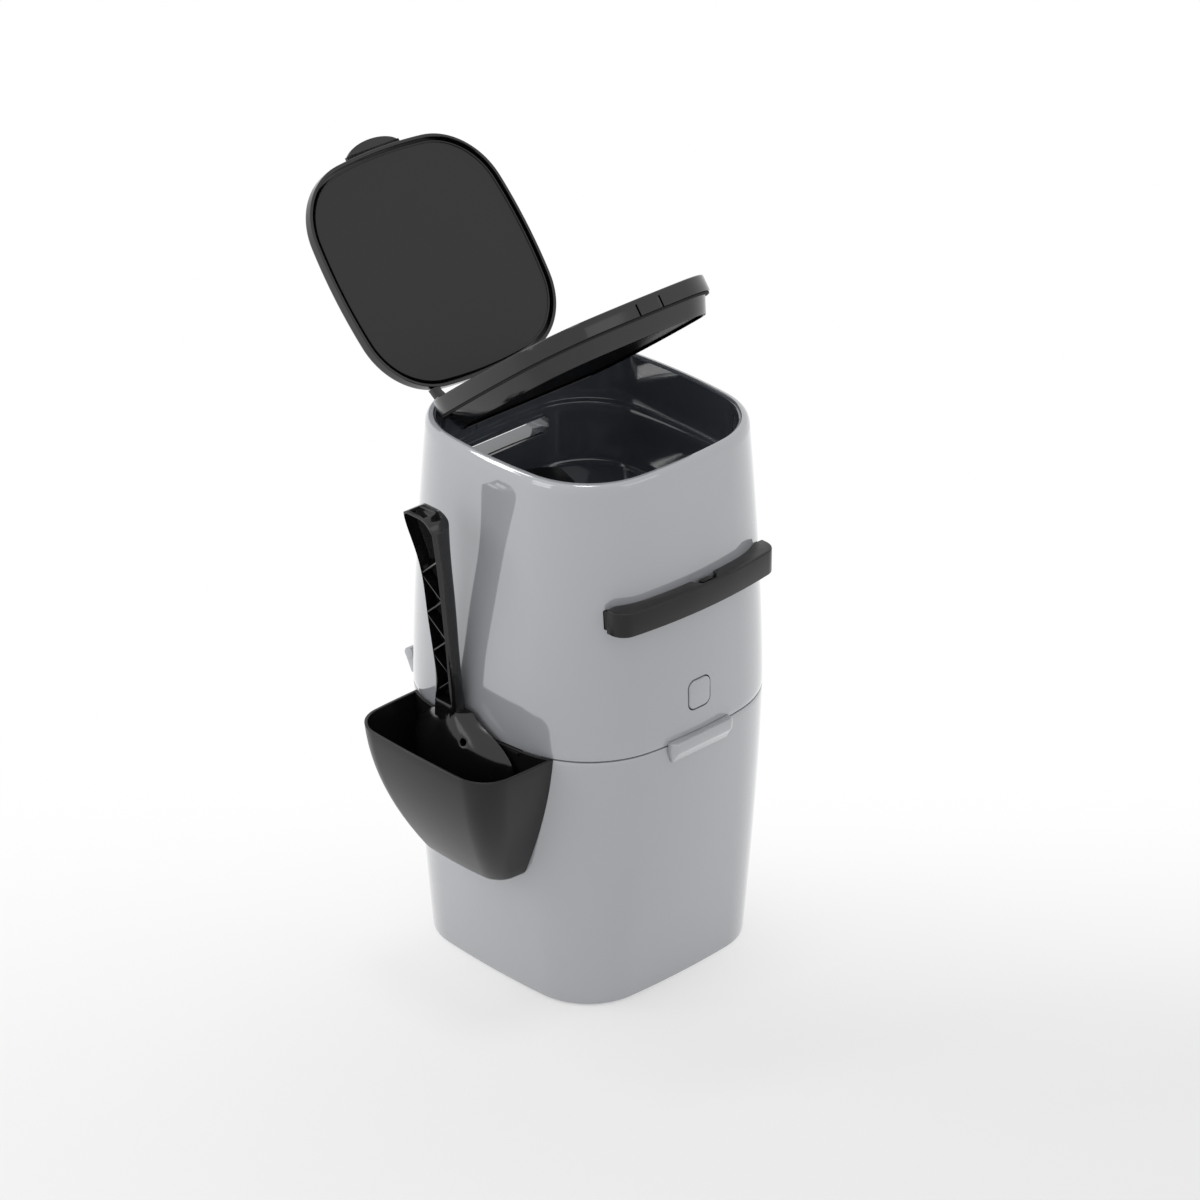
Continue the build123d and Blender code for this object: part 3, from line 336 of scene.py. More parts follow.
def bevelAlong(piece, axis, corner, steps):
    # rounds the edges that run along one axis
    pick(piece)
    bpy.ops.object.mode_set(mode="EDIT")
    bpy.ops.mesh.select_mode(type="EDGE")
    bpy.ops.mesh.select_all(action="DESELECT")
    mesh = bmesh.from_edit_mesh(piece.data)
    for edge in mesh.edges:
        run = (edge.verts[0].co - edge.verts[1].co).normalized()
        edge.select_set(abs(run[axis]) > 0.9)
    bpy.ops.mesh.bevel(offset=corner * mm, segments=steps, affect="EDGES")
    bpy.ops.mesh.select_mode(type="VERT")
    bpy.ops.object.mode_set(mode="OBJECT")
    return piece


def block(name, low, high, corner=0.0, along=0, steps=5):
    # a box between two corners, with the edges along one axis rounded
    deselect()
    bpy.ops.mesh.primitive_cube_add(size=1, location=[(a + b) / 2 * mm for a, b in zip(low, high)],
                                    scale=[(b - a) * mm for a, b in zip(low, high)])
    bpy.ops.object.transform_apply(location=True, rotation=True, scale=True)
    box = added(name)
    return bevelAlong(box, along, corner, steps) if corner else box


def hole(name, half, spanY, spanZ, corner=0.0, steps=5):
    # a cutter through a wall, centred on X, rounded seen from the front
    return block(name, (-half, spanY[0], spanZ[0]), (half, spanY[1], spanZ[1]), corner, 1, steps)


def slide(piece, test, move):
    # moves the corners that pass a test
    pick(piece)
    bpy.ops.object.mode_set(mode="EDIT")
    bpy.ops.mesh.select_all(action="DESELECT")
    for vert in bmesh.from_edit_mesh(piece.data).verts:
        vert.select_set(test(vert.co / mm))
    bpy.ops.transform.translate(value=[c * mm for c in move])
    bpy.ops.object.mode_set(mode="OBJECT")
    return piece


def rod(name, radius, low, high, centre, sides=40, edge=0.4):
    # a round bar along X, with softened ends
    deselect()
    bpy.ops.mesh.primitive_cylinder_add(vertices=sides, radius=radius * mm, depth=(high - low) * mm,
                                        location=[c * mm for c in ((low + high) / 2, *centre)],
                                        rotation=(0, pi / 2, 0))
    bpy.ops.object.transform_apply(location=True, rotation=True, scale=True)
    return roundEdges(added(name), edge)


def settle(piece, body, finish, *nodes, angle=32):
    # paints a finished piece, and says which body carries it and which nodes it stands for
    piece.data.materials.clear()
    piece.data.materials.append(finishes[finish])
    pick(piece)
    bpy.ops.object.shade_smooth_by_angle(angle=radians(angle))
    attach(piece, body)
    if nodes:
        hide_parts(*nodes)
    print("piece:", piece.name, len(piece.data.polygons))
    return piece


def joinUp(piece, *others):
    pick(piece)
    for other in others:
        other.select_set(True)
    bpy.context.view_layer.objects.active = piece
    bpy.ops.object.join()
    return piece


def nodeCopy(node, soften=0.0):
    # the CAD node's own shape as one welded mesh, its sharp edges eased
    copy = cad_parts[node].copy()
    copy.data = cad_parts[node].data.copy()
    copy.name = copy.data.name = node + ".dressed"
    copy.parent = None
    copy.matrix_world = Matrix()
    bpy.context.collection.objects.link(copy)
    pick(copy)
    bpy.ops.object.mode_set(mode="EDIT")
    bpy.ops.mesh.select_all(action="SELECT")
    bpy.ops.mesh.remove_doubles(threshold=0.000002)
    if soften:
        bpy.ops.mesh.dissolve_limited(angle_limit=radians(0.8))
    bpy.ops.object.mode_set(mode="OBJECT")
    return roundEdges(copy, soften, angle=38) if soften else copy


def openLid(piece, degrees):
    # from shut to open, about the pin that both lids share
    pick(piece)
    bpy.ops.object.mode_set(mode="EDIT")
    bpy.ops.mesh.select_all(action="SELECT")
    bpy.ops.transform.rotate(value=radians(degrees), orient_axis="X",
                             center_override=(0, lidPin["y"] * mm, lidPin["z"] * mm))
    bpy.ops.object.mode_set(mode="OBJECT")
    return piece


# lower bin

lower = {
    "baseRound": 3.0, "floor": 3.0, "edge": 0.6,
    "ringTop": 208.1, "ringLow": 191.6, "ringOut": 3.0, "ringIn": 4.6,
    "hingeY": 112.8, "knuckle": 4.3, "knuckleHalf": 68.0, "knuckleEnds": (14.0, 40.0), "knuckleGap": 0.2,
    "capThick": 0.35, "webRise": 14.0, "webFoot": (0.8, 2.0), "webInset": 0.4, "webCrest": 2.4,
    "webDeep": (3.4, 7.8), "webEnds": 0.3, "webRound": 0.4,
    "hookY": 35.0, "hookHalf": 10.4, "hookFloor": 201.2, "hookX": (-116, -98),
    "catch": ((-12.0, -109.5, 198.6), (12.0, -104.8, 202.0)),
}
thumbLip = {
    "half": 29.5, "reach": 5.95, "top": 206.4, "face": 198.4, "fall": 190.1, "corner": 5.0, "edge": 1.5,
    "tuck": 1.2, "root": 0.3, "ease": 0.8, "insets": (3.0, 0.3),
}


def makeLowerBin():
    top = form["split"] - form["gap"] / 2
    r = lower["baseRound"]
    rings = [bodyRing(r - r * cos(t), r - r * sin(t)) for t in quarterTurns(6, 0)]
    rings += [bodyRing(z) for z in spread(r, top - lower["edge"], 4.0)[1:]]
    rings.append(bodyRing(top - 0.18, 0.18))
    rings.append(bodyRing(top, lower["edge"]))
    rings.append(bodyRing(top, lower["ringOut"]))
    rings.append(bodyRing(lower["ringTop"] - 0.4, lower["ringOut"]))
    rings.append(bodyRing(lower["ringTop"], lower["ringOut"] + 0.4))
    rings.append(bodyRing(lower["ringTop"], lower["ringIn"]))
    rings.append(bodyRing(lower["ringLow"], lower["ringIn"]))
    rings.append(bodyRing(lower["ringLow"], form["wall"]))
    rings += [bodyRing(z, form["wall"]) for z in spread(lower["ringLow"], lower["floor"] + 2, 12.0)[1:]]
    rings.append(bodyRing(lower["floor"], form["wall"] + 2))
    piece = liftRings("lowerBin", rings)
    out, back = lower["hookX"]
    for y in (-lower["hookY"], lower["hookY"]):
        cutAway(piece, block("hookCut", (out, y - lower["hookHalf"], lower["hookFloor"]),
                             (back, y + lower["hookHalf"], lower["ringTop"] + 1)))
    return piece


def lipRing(z, reach, inset):
    # one level of the lip: a bar with rounded front corners, from inside the wall
    half, face = thumbLip["half"] - inset, -form["widestHalf"] * form["deeper"]
    wall, front = face + thumbLip["tuck"], face - reach
    c = min(thumbLip["corner"], reach)
    right = [(half, wall, z)]
    right += [(half - c + c * cos(t), front + c - c * sin(t), z) for t in quarterTurns(8, 0)]
    return right + [(-x, y, z) for x, y, z in reversed(right)]


def makeThumbLip():
    # the underside runs back into the wall
    top, face, r, reach = thumbLip["top"], thumbLip["face"], thumbLip["edge"], thumbLip["reach"]
    low, root, ease = thumbLip["fall"], thumbLip["root"], thumbLip["ease"]
    wide, narrow = thumbLip["insets"]
    rings = [lipRing(low, root, wide)]
    for share in (0.25, 0.5, 0.75, 1.0):
        rings.append(lipRing(low + (face - ease - low) * share, root + (reach - ease - root) * share,
                             wide + (narrow - wide) * share))
    rings.append(lipRing(face, reach - ease / 2, 0.1))
    rings.append(lipRing(face + ease, reach - 0.1, 0.0))
    rings += [lipRing(top - r + r * sin(t), reach - r + r * cos(t), r - r * cos(t)) for t in quarterTurns(6, 0)]
    return liftRings("thumbLip", rings)


def makeKnuckles(upper):
    # barrels of the rear hinge, each on a web that runs into its shell's wall
    near, far = lower["knuckleEnds"]
    end, gap, way = lower["knuckleHalf"], lower["knuckleGap"], 1 if upper else -1
    y, z, r = lower["hingeY"], form["split"], lower["knuckle"]
    cap = gap + lower["capThick"]  # the end knuckles close over the pin
    outside, crest = y + r - lower["webInset"], z + way * lower["webRise"]
    foot, heel = [z + way * rise for rise in lower["webFoot"]]
    spans = [(-far, -near), (near, far)] if upper else [(-end - cap, -far), (-near, near), (far, end + cap)]
    parts = []
    for a, b in spans:
        a, b = a + gap, b - gap
        # the wall falls away beside the middle
        back = y - (lower["webDeep"][0] if max(-a, b) < end else lower["webDeep"][1])
        side = [(outside, foot), (outside, heel), (y - lower["webCrest"], crest), (back, crest), (back, foot)]
        ends = (a + lower["webEnds"], b - lower["webEnds"])
        parts.append(rod("knuckle", r, a, b, (y, z)))
        web = liftRings("web", [[(x, *spot) for spot in side] for x in ends])
        parts.append(roundEdges(web, lower["webRound"]))
    return parts


lowerBin = makeLowerBin()
joinUp(lowerBin, makeThumbLip(), block("catch", *lower["catch"]), *makeKnuckles(False))
settle(lowerBin, "lower_body", "greyShell", "lower_bin")


# upper shell

upper = {
    "edge": 0.6, "rimRound": 4.2, "rimSteps": 10, "mouthEdge": 0.5, "lipDeep": 7.0,
    "notchHalf": 56.0, "notchY": (84, 112), "notchLow": 398.0,
    "thumbHalf": 29.9, "thumbY": (-124, -98), "thumbDeep": 20, "thumbTop": 206.7, "thumbCorner": 2.5,
    "buttonHalf": (10.9, 11.9), "buttonY": (-125, -100), "buttonRound": 6.4, "buttonZ": 235.0,
    "armX": (62.9, 74.1), "armY": (-125, -70), "armZ": (304.4, 319.6), "armRound": 1.5,
    "gripHalf": 45.0, "gripY": (92, 125), "gripZ": (350.0, 367.0), "gripRound": 8.4,
}


def makeUpperShell():
    low = form["split"] + form["gap"] / 2
    top, r = form["rim"], upper["rimRound"]
    rings = [bodyRing(low, upper["edge"]), bodyRing(low + 0.18, 0.18)]
    rings += [bodyRing(z) for z in spread(low + upper["edge"], top - r, 4.0)]
    rings += [bodyRing(top, r - r * cos(t), top - r + r * sin(t)) for t in quarterTurns(upper["rimSteps"])]
    e = upper["mouthEdge"]
    rings.append(mouthRing(top, -e * 0.5))
    rings.append(mouthRing(top - e * 0.3, -e * 0.15))
    rings.append(mouthRing(top - e))
    rings.append(mouthRing(top - upper["lipDeep"]))
    rings.append(bodyRing(top - upper["lipDeep"], form["wall"]))
    rings += [bodyRing(z, form["wall"]) for z in spread(top - upper["lipDeep"], low + 0.3, 10.0)[1:]]
    rings.append(bodyRing(low, form["wall"] - 0.3))
    rings.append(bodyRing(low, upper["edge"]))
    piece = liftRings("upperShell", rings, closeEnds=False)
    wide, tall = upper["buttonHalf"]
    middle = upper["buttonZ"]
    cuts = [
        hole("notchCut", upper["notchHalf"], upper["notchY"], (upper["notchLow"], top + 2)),
        hole("thumbCut", upper["thumbHalf"], upper["thumbY"], (low - upper["thumbDeep"], upper["thumbTop"]),
             upper["thumbCorner"]),
        hole("buttonCut", wide, upper["buttonY"], (middle - tall, middle + tall), upper["buttonRound"], 10),
        hole("gripCut", upper["gripHalf"], upper["gripY"], upper["gripZ"], upper["gripRound"], 8),
    ]
    (front, back), (under, over) = upper["armY"], upper["armZ"]
    for s in (-1, 1):
        a, b = sorted(s * x for x in upper["armX"])
        cuts.append(block("armCut", (a, front, under), (b, back, over), upper["armRound"], 1, 4))
    return cutAway(piece, *cuts)


upperShell = makeUpperShell()
joinUp(upperShell, *makeKnuckles(True))
settle(upperShell, "upper_body", "greyShell", "upper_shell")


# well liner

lidPin = {"y": 92.2, "z": 404.6, "knuckle": 3.6}
well = {
    "gap": 0.15, "wall": 1.6, "top": 408.6,
    "ledge": 371.0, "ledgeThick": 2.2, "floor": 324.4, "floorThick": 2.4,
    "half": (84.8, 86.9), "corner": 50.0, "bow": 6.0, "taper": 2.5, "floorRound": 4.0, "ledgeRound": 0.9,
    "throat": (-51, -40, 51, 10), "throatRound": 3.0,
    "grip": (43.0, (70, 120), (352.0, 365.0), 6.4, 8), "sleeve": (44.8, (84.0, 102.6), (350.2, 366.8), 8.2, 8),
    "ribs": (-26.0, -19.0), "ribHalf": 0.7, "ribDeep": 1.4, "ribTuck": 0.4, "ribTop": 395.0, "ribRound": 0.4,
    "ears": ((-46.0, -41.0), (-7.0, 7.0), (41.0, 46.0)), "earY": (88.6, 93.8), "earLow": 390.0, "earRound": 0.5,
}


def wellRing(z, grow=0.0):
    inset = (well["ledge"] - z) / (well["ledge"] - well["floor"]) * well["taper"] - grow
    flat = bowedSquare(well["half"][0] - inset, well["half"][1] - inset, well["corner"] - inset, well["bow"])
    return [(x, y, z) for x, y in flat]


def makeLiner():
    gap, wall, floor = well["gap"], well["wall"], well["floor"]
    under = floor - well["floorThick"]
    rings = [wellRing(under, wall - 1.5), wellRing(under + 1.0, wall)]
    rings += [wellRing(z, wall) for z in spread(under + 1.0, well["ledge"] - well["ledgeThick"], 12.0)[1:]]
    rings.append(mouthRing(well["ledge"] - well["ledgeThick"], gap))
    rings += [mouthRing(z, gap) for z in spread(well["ledge"] - well["ledgeThick"], well["top"] - 0.4, 9.0)[1:]]
    rings.append(mouthRing(well["top"], gap + 0.4))
    rings.append(mouthRing(well["top"], gap + wall - 0.4))
    rings += [mouthRing(z, gap + wall) for z in spread(well["top"] - 0.4, well["ledge"] + 1.2, 9.0)]
    rings.append(mouthRing(well["ledge"] + 0.35, gap + wall + 0.35))
    rings.append(mouthRing(well["ledge"], gap + wall + 1.2))
    e = well["ledgeRound"]
    rings.append(wellRing(well["ledge"], e))
    rings.append(wellRing(well["ledge"] - e * 0.3, e * 0.3))
    rings.append(wellRing(well["ledge"] - e))
    r = well["floorRound"]
    rings += [wellRing(z) for z in spread(well["ledge"] - e, floor + r, 6.0)[1:]]
    rings += [wellRing(floor + r - r * sin(t), r * cos(t) - r) for t in quarterTurns(6)]
    piece = liftRings("wellLiner", rings)
    x0, y0, x1, y1 = well["throat"]
    return cutAway(
        piece,
        block("throatCut", (x0, y0, under - 5), (x1, y1, floor + 3), well["throatRound"], 2, 6),
        hole("gripCut", *well["grip"]),
        hole("notchCut", upper["notchHalf"], upper["notchY"], (upper["notchLow"], form["rim"] + 10)))


def makeFittings():
    # ribs on the back wall, the grip's sleeve and the ears that carry the lids' pin
    back = form["rimHalf"] * form["deeper"] - form["lip"] - well["gap"] - well["wall"]
    parts = [block("rib", (x - well["ribHalf"], back - well["ribDeep"], well["ledge"]),
                   (x + well["ribHalf"], back + well["ribTuck"], well["ribTop"]), well["ribRound"], 2, 3)
             for x in well["ribs"]]
    parts.append(cutAway(hole("sleeve", *well["sleeve"]), hole("sleeveCut", *well["grip"])))
    front, rear = well["earY"]
    for a, b in well["ears"]:
        ear = block("ear", (a, front, well["earLow"]), (b, rear, lidPin["z"]))
        parts.append(roundEdges(ear, well["earRound"]))
        parts.append(rod("earRound", lidPin["knuckle"], a, b, (lidPin["y"], lidPin["z"])))
    return parts


liner = makeLiner()
joinUp(liner, *makeFittings())
# the liner takes the darkened grey: painted shade inside the well
settle(liner, "upper_body", "greyInPaintedShade", "well_liner")


# lids

outer = {
    "open": 130.8, "half": (88.8, 88.1), "centre": -2.35, "corner": 52.6, "bow": 8.4,
    "low": 404.9, "deep": 8.8, "wall": 2.2, "top": 2.0, "round": 2.8, "rimEdge": 0.35,
    "panelInset": 4.6, "panelRecess": 1.8, "panelThick": 1.6, "bead": 1.3, "beadUp": 0.7,
    "flat": 14, "tabHalf": 24.4, "tabReach": 9.0, "tabLow": 410.6, "tabThick": 2.6,
    "tabTuck": 1.0, "tabDraw": 4.0, "tabTrim": 2.5, "tabRound": 0.7,
    "arm": (46.5, 53.5), "armTuck": 4.3, "armZ": (0.3, 6), "armClear": 0.7,
}
inner = {
    "open": 37.6, "half": (88.8, 90.6), "centre": 0.6, "corner": 51.0, "bow": 9.0, "rear": 84.0,
    "top": 404.6, "flange": 12.0, "wall": 1.8, "round": 1.2, "lowEdge": 0.6,
    "flat": 16, "dish": 13.6, "dishInset": 3.4, "dishTaper": 4.4, "dishBack": 1.6,
    "dishRear": 2, "dishSlant": 12, "dishStart": 0.6, "facesDown": -0.85, "seal": 1.6, "sealInset": 1.0,
    "arm": (33.0, 40.5), "armTuck": 0.5, "armZ": (-8, -0.3), "armClear": 1.0,
    "clip": (4.0, 20.0, 1.6), "clipDeep": 3.4,
}


def outerRing(z, inset=0.0):
    wide, deep = outer["half"]
    flat = bowedSquare(wide - inset, deep - inset, outer["corner"] - inset, outer["bow"])
    return [(x, y + outer["centre"], z) for x, y in flat]


def lidArm(name, span, wallY, lowZ, highZ, crown, kneeY):
    # barrel on the pin, and a web to the lid's rear wall, its underside level up to the knee
    y, z, r = lidPin["y"], lidPin["z"], lidPin["knuckle"]
    side = [(y, z + crown), (wallY, highZ), (wallY, lowZ), (kneeY, lowZ), (y, z - r)]
    web = liftRings(name, [[(x, *spot) for spot in side] for x in span])
    return [rod(name, r, *span, (y, z)), roundEdges(web, 0.3)]


def makeOuterLid():
    low, high = outer["low"], outer["low"] + outer["deep"]
    r, e = outer["round"], outer["rimEdge"]
    rings = [outerRing(high - outer["top"], outer["wall"]), outerRing(low + e, outer["wall"]),
             outerRing(low, outer["wall"] - e), outerRing(low, e), outerRing(low + e), outerRing(high - r)]
    rings += [outerRing(high - r + r * sin(t), r - r * cos(t)) for t in quarterTurns(8)]
    rings.append(outerRing(high, outer["flat"]))
    return liftRings("outerLid", rings)


def makeTab():
    # the thumb tab at the lid's free edge
    half, reach, tuck = outer["tabHalf"], outer["tabReach"], outer["tabTuck"]
    front = outer["centre"] - outer["half"][1]
    z, h = outer["tabLow"], outer["tabThick"]
    deselect()
    bpy.ops.mesh.primitive_cylinder_add(vertices=96, radius=1, depth=h * mm,
                                        location=(0, (front + tuck) * mm, (z + h / 2) * mm),
                                        scale=(half * mm, (reach + tuck) * mm, 1))
    bpy.ops.object.transform_apply(location=True, rotation=True, scale=True)
    tab = added("tab")
    slide(tab, lambda v: v.y > front + tuck + 0.2, (0, -outer["tabDraw"], 0))
    pick(tab)
    bpy.ops.object.mode_set(mode="EDIT")
    bpy.ops.mesh.select_all(action="SELECT")
    bpy.ops.mesh.bisect(plane_co=(0, (front + outer["tabTrim"]) * mm, 0), plane_no=(0, 1, 0),
                        clear_outer=True, use_fill=True)
    bpy.ops.object.mode_set(mode="OBJECT")
    return roundEdges(tab, outer["tabRound"], 40, 3)


def makePanel():
    low, t = outer["low"] + outer["panelRecess"], outer["panelThick"]
    i, b, up = outer["panelInset"], outer["bead"], outer["beadUp"]
    return liftRings("outerLidPanel", [
        outerRing(low + t, i), outerRing(low - up + 0.25, i), outerRing(low - up, i + 0.25),
        outerRing(low - up, i + b - 0.35), outerRing(low - up + 0.25, i + b - 0.1), outerRing(low, i + b),
        outerRing(low, i + 18), outerRing(low, i + 40)])


outerLid = makeOuterLid()
arms = []
for s in (-1, 1):
    arms += lidArm("outerArm", sorted(s * x for x in outer["arm"]),
                   outer["centre"] + outer["half"][1] - outer["armTuck"],
                   outer["low"] + outer["armZ"][0], outer["low"] + outer["armZ"][1],
                   lidPin["knuckle"], inner["rear"] + outer["armClear"])
joinUp(outerLid, makeTab(), *arms)
settle(openLid(outerLid, outer["open"]), "outer_lid", "blackGloss", "outer_lid")
settle(openLid(makePanel(), outer["open"]), "outer_lid", "blackPanel", "outer_lid_panel")


def innerRing(z, inset=0.0, rear=None, extra=0.0):
    wide, deep = inner["half"]
    flat = bowedSquare(wide - inset, deep - inset - extra, inner["corner"] - inset, inner["bow"])
    stop = inner["rear"] - inset if rear is None else rear
    return [(x, min(y + inner["centre"], stop), z) for x, y in flat]


def makeInnerLid():
    top, low = inner["top"], inner["top"] - inner["flange"]
    w, r, e = inner["wall"], inner["round"], inner["lowEdge"]
    rings = [innerRing(top - 2, w), innerRing(low + 0.3, w), innerRing(low, w - 0.3), innerRing(low, e),
             innerRing(low + e * 0.3, e * 0.3), innerRing(low + e), innerRing(top - r)]
    rings += [innerRing(top - r + r * sin(t), r - r * cos(t)) for t in quarterTurns(6)]
    rings.append(innerRing(top, inner["flat"]))
    piece = liftRings("innerLid", rings)
    x, wide, gap = inner["clip"]
    front = inner["centre"] - inner["half"][1]
    for s in (-1, 1):
        a, b = sorted((x + s * wide / 2, x + s * (wide / 2 + gap)))
        cutAway(piece, block("clipCut", (a, front - 2, low - 2), (b, front + 3, top - inner["clipDeep"])))
    return piece


def dishRing(z, inset=0.0):
    # narrower and further forward towards the dish's floor
    under = inner["top"] - inner["flange"]
    share = (under - z) / inner["dish"]
    slant = inner["dishSlant"] * (under - inner["dishStart"] - z) / (inner["dish"] + 1 - inner["dishStart"])
    return innerRing(z, inner["dishInset"] + share * inner["dishTaper"] + inset,
                     inner["rear"] - inner["dishRear"] - slant - inset, share * inner["dishBack"])


def makeDish():
    high = inner["top"] - inner["flange"] - inner["seal"]
    low = inner["top"] - inner["flange"] - inner["dish"]
    w = inner["wall"]
    rings = [dishRing(low + 2, w), dishRing(low + 0.3, w), dishRing(low, w - 0.3), dishRing(low, 0.5),
             dishRing(low + 0.2, 0.12), dishRing(low + 0.6)]
    rings += [dishRing(z) for z in spread(low + 0.6, high, 3.0)[1:]]
    rings.append(dishRing(high, 4))
    return liftRings("innerLidDish", rings)


def makeSeal():
    high = inner["top"] - inner["flange"]
    low = high - inner["seal"]
    i = inner["sealInset"]
    rings = [innerRing(low, i + 5), innerRing(low, i + 0.4), innerRing(low + 0.4, i),
             innerRing(high - 0.3, i), innerRing(high, i + 0.3), innerRing(high, i + 5), innerRing(low, i + 5)]
    return liftRings("innerLidSeal", rings, closeEnds=False)


innerLid = makeInnerLid()
arms = []
for s in (-1, 1):
    arms += lidArm("innerArm", sorted(s * x for x in inner["arm"]), inner["rear"] - inner["armTuck"],
                   lidPin["z"] + inner["armZ"][0], lidPin["z"] + inner["armZ"][1],
                   inner["armZ"][1], inner["rear"] + inner["armClear"])
joinUp(innerLid, *arms)
settle(openLid(innerLid, inner["open"]), "inner_lid", "blackGloss", "inner_lid")
dish = settle(makeDish(), "inner_lid", "blackGloss", "inner_lid_dish")
# the dish's downward faces take the darker black: painted shade under the open lid
dish.data.materials.append(finishes["undersidePaintedShade"])
for face in dish.data.polygons:
    if face.normal.z < inner["facesDown"]:
        face.material_index = 1
openLid(dish, inner["open"])
settle(openLid(makeSeal(), inner["open"]), "inner_lid", "softBlack", "inner_lid_seal")


# release button

button = {"half": (10.0, 11.0), "corner": 5.5, "z": 235.0, "face": -112.0, "deep": 4.0, "edge": 1.1}


def makeButton():
    wide, tall = button["half"]
    front, middle = button["face"], button["z"]
    cap = hole("releaseButton", wide, (front, front + button["deep"]), (middle - tall, middle + tall),
               button["corner"], 10)
    return roundEdges(cap, button["edge"], 50, 5)


settle(makeButton(), "release_button", "greyShell", "release_button")


# scoop holder

holder = {
    "low": 100.0, "top": 204.0, "reach": (126.0, 165.0), "half": (42.0, 69.5), "bulge": (7.4, 4.8),
    "corner": (16.0, 25.0), "bow": 2.5, "inner": 40.0, "wall": 2.2, "gap": 0.4, "baseRound": 5.0,
    "pocketRound": 3.0, "rim": 0.5, "step": 8, "beside": (90, 209.9),
    "hook": (35.0, 10.0, 202.7, 1.5, 11.0), "hookX": (-110.6, -100.4, -98.6),
}


def holderRing(z, inset=0.0, height=None):
    share = (z - holder["low"]) / (holder["top"] - holder["low"])
    arch = 4 * share * (1 - share)
    reach, half, corner = [holder[key][0] + (holder[key][1] - holder[key][0]) * share
                           for key in ("reach", "half", "corner")]
    reach += holder["bulge"][0] * arch - inset
    half += holder["bulge"][1] * arch - inset
    middle = -(reach + holder["inner"]) / 2
    flat = bowedSquare((reach - holder["inner"]) / 2, half, corner - inset, holder["bow"])
    return [(x + middle, y, z if height is None else height) for x, y in flat]


def bodySolid(name, grow):
    return liftRings(name, [bodyRing(z, -grow) for z in spread(*holder["beside"], holder["step"])])


def makeHolder():
    # a lofted pocket cut to the body's side, with its own wall along it
    low, top, wall, r = holder["low"], holder["top"], holder["wall"], holder["baseRound"]
    rim, step, soft = holder["rim"], holder["step"], holder["pocketRound"]
    rings = [holderRing(low + r - r * cos(t), r - r * sin(t)) for t in quarterTurns(6, 0)]
    rings += [holderRing(z) for z in spread(low + r, top - rim, step)[1:]]
    rings += [holderRing(top, rim * (1 - cos(t)), top - rim * (1 - sin(t))) for t in quarterTurns(3)]
    piece = liftRings("scoopHolder", rings)
    pocket = liftRings("pocket", [holderRing(low + wall, wall + soft)]
                       + [holderRing(z, wall) for z in spread(low + wall + soft, top - 0.4, step)]
                       + [holderRing(top, wall - 0.4), holderRing(top, wall - 0.4, top + 2)])
    cutAway(pocket, bodySolid("behind", holder["gap"] + wall))
    cutAway(piece, bodySolid("beside", holder["gap"]), pocket)
    y, wide, z, thick, drop = holder["hook"]
    out, turn, back = holder["hookX"]
    hooks = []
    for s in (-1, 1):
        hooks.append(block("hook", (out, s * y - wide, z - thick), (back, s * y + wide, z)))
        hooks.append(block("hook", (turn, s * y - wide, z - drop), (back, s * y + wide, z - thick)))
    return joinUp(piece, *hooks)


settle(makeHolder(), "lower_body", "blackSatin", "scoop_holder")


# pieces whose CAD shape is right: welded, softened and painted

dressed = {
    "body_hinge_pin": ("lower_body", "plainSteel", 0),
    "scoop": ("scoop", "blackGloss", 0.25),
    # clamp_frame and latch_cover share the liner's darkened grey, which is painted shade
    "clamp_frame": ("upper_body", "greyInPaintedShade", 0),
    "clamp_screws": ("upper_body", "plainSteel", 0),
    "rear_jaw": ("upper_body", "blackSatin", 0.3),
    "rear_jaw_pad": ("upper_body", "softBlack", 0),
    "front_jaw": ("clamp_slide", "blackSatin", 0.3),
    "front_jaw_pad": ("clamp_slide", "softBlack", 0),
    "pull_handle": ("clamp_slide", "blackSatin", 0.3),
    "handle_screws": ("clamp_slide", "plainSteel", 0),
    "return_spring_left": ("upper_body", "plainSteel", 0),
    "return_spring_right": ("upper_body", "plainSteel", 0),
    "latch_hook": ("release_button", "blackSatin", 0),
    "button_spring": ("upper_body", "plainSteel", 0),
    "latch_cover": ("upper_body", "greyInPaintedShade", 0),
    "lid_hinge_pin": ("upper_body", "plainSteel", 0),
    "inner_lid_clip": ("inner_lid", "blackGloss", 0.2),
}
for node, (body, finish, soften) in dressed.items():
    settle(nodeCopy(node, soften), body, finish, node)


# studio

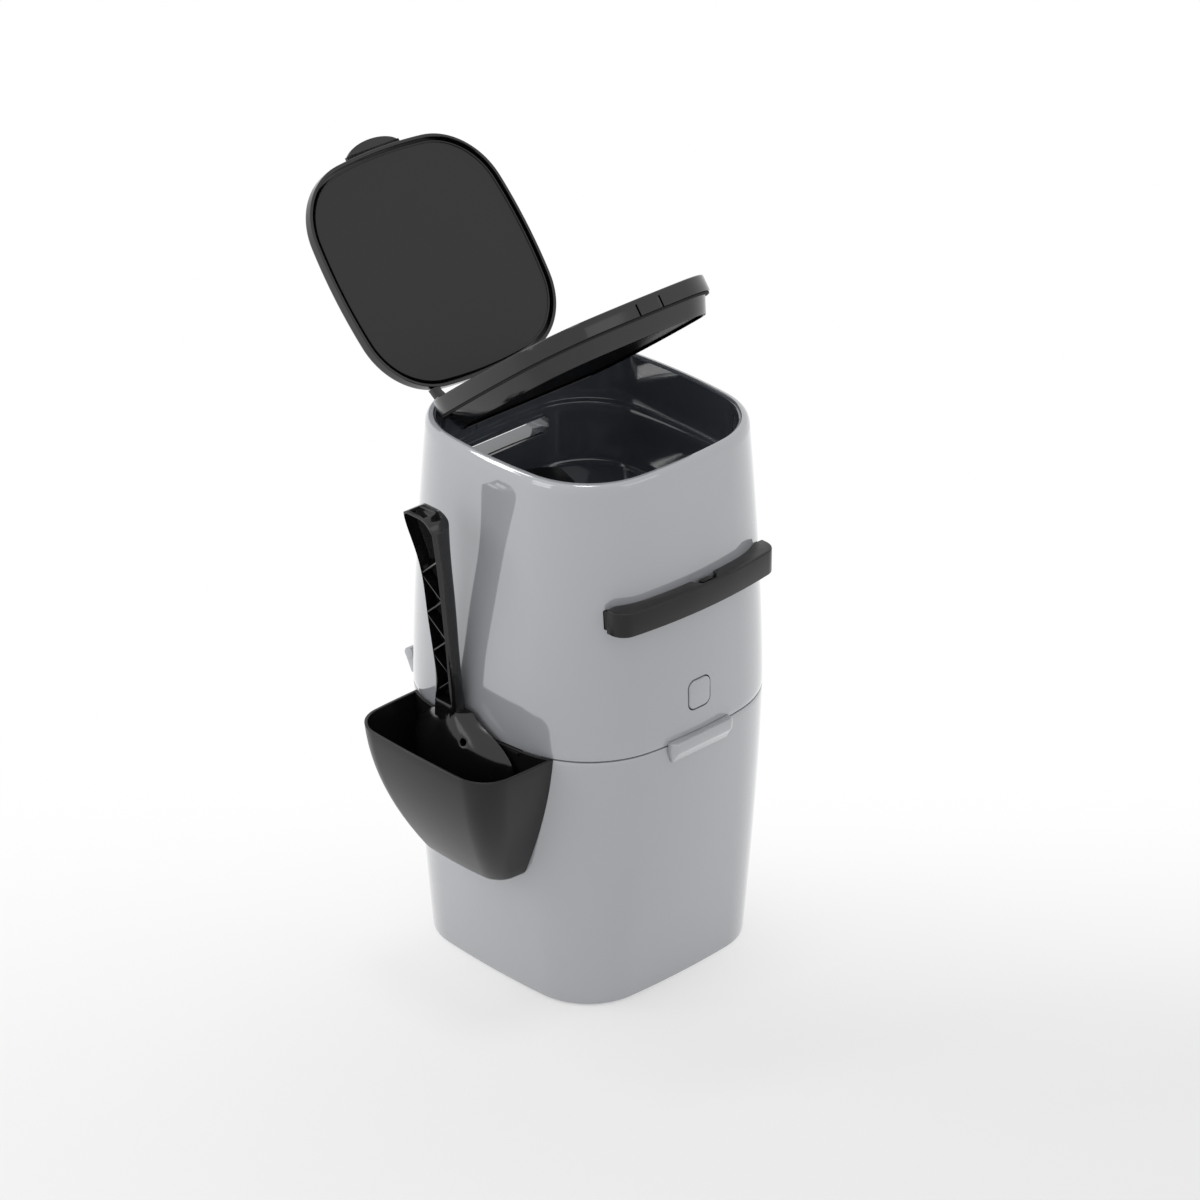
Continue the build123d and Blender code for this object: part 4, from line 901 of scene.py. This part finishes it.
studio = {
    "white": (1, 1, 1, 1), "floorSize": 14, "floorDrop": 0.0003, "floorTone": 0.86, "skyLight": 0.74,
    "behind": (0.694, 0.720, 0), "fade": (-0.36, 0.22), "pool": (0.62, 1.3),
    "lamps": [
        # name, place, aimed at, long axis, width, height, watts
        ("backStrip", (-1.10, 1.40, 1.75), (0, 0, 0.4), (0.61, 0, 0.48), 1.9, 0.34, 12),
        ("leftSoftbox", (-2.4, 0.6, 1.5), (0, 0, 0.25), (0, 1, 0), 1.2, 1.6, 8),
        ("frontSoftbox", (0.9, -2.8, 1.8), (0, 0, 0.2), (1, 0, 0), 1.8, 1.4, 5),
        ("topSoftbox", (-0.2, -0.1, 3.0), (0, 0, 0), (1, 0, 0), 0.6, 0.6, 8),
    ],
}


def makeFloor():
    # pale in front, white behind the object, with the object's shadow kept
    deselect()
    bpy.ops.mesh.primitive_plane_add(size=studio["floorSize"], location=(0, 0, -studio["floorDrop"]))
    floor = added("floor")
    paint = Paint(bpy.data.materials.new("floorPaint"))
    place = paint.place()
    behind = paint.node("VectorMath", {"operation": "DOT_PRODUCT"}, {0: place, 1: studio["behind"]}, "Value")
    away = paint.node("VectorMath", {"operation": "LENGTH"}, {0: place}, "Value")
    fades = [paint.node("MapRange", {"interpolation_type": "SMOOTHSTEP"},
                        {"Value": far, "From Min": low, "From Max": high})
             for far, (low, high) in ((behind, studio["fade"]), (away, studio["pool"]))]
    seen = paint.seen() * fades[0].math("MAXIMUM", fades[1])
    diffuse = paint.node("BsdfDiffuse", {}, {"Color": (studio["floorTone"],) * 3 + (1,)})
    glow = paint.node("Emission", {}, {"Color": studio["white"], "Strength": 1.0})
    floor.data.materials.append(paint.finish(paint.node("MixShader", {}, {0: seen, 1: diffuse, 2: glow})))


def makeLamps():
    for name, place, target, along, wide, tall, watts in studio["lamps"]:
        lamp = bpy.data.lights.new(name, "AREA")
        lamp.shape, lamp.size, lamp.size_y, lamp.energy = "RECTANGLE", wide, tall, watts
        thing = bpy.data.objects.new(name, lamp)
        bpy.context.collection.objects.link(thing)
        back = (Vector(place) - Vector(target)).normalized()
        side = (Vector(along) - back * back.dot(Vector(along))).normalized()
        turn = Matrix((side, back.cross(side), back)).transposed()
        thing.matrix_world = Matrix.Translation(place) @ turn.to_4x4()


def makeSky():
    # white where it is seen, and softer as light
    world = bpy.data.worlds.new("studio")
    bpy.context.scene.world = world
    paint = Paint(world)
    lit, bright = [paint.node("Background", {}, {"Color": studio["white"], "Strength": strength})
                   for strength in (studio["skyLight"], 1.0)]
    paint.finish(paint.node("MixShader", {}, {0: paint.seen(), 1: lit, 2: bright}), "World")


makeFloor()
makeLamps()
makeSky()
bpy.context.scene.view_settings.view_transform = "Standard"
print("studio set")
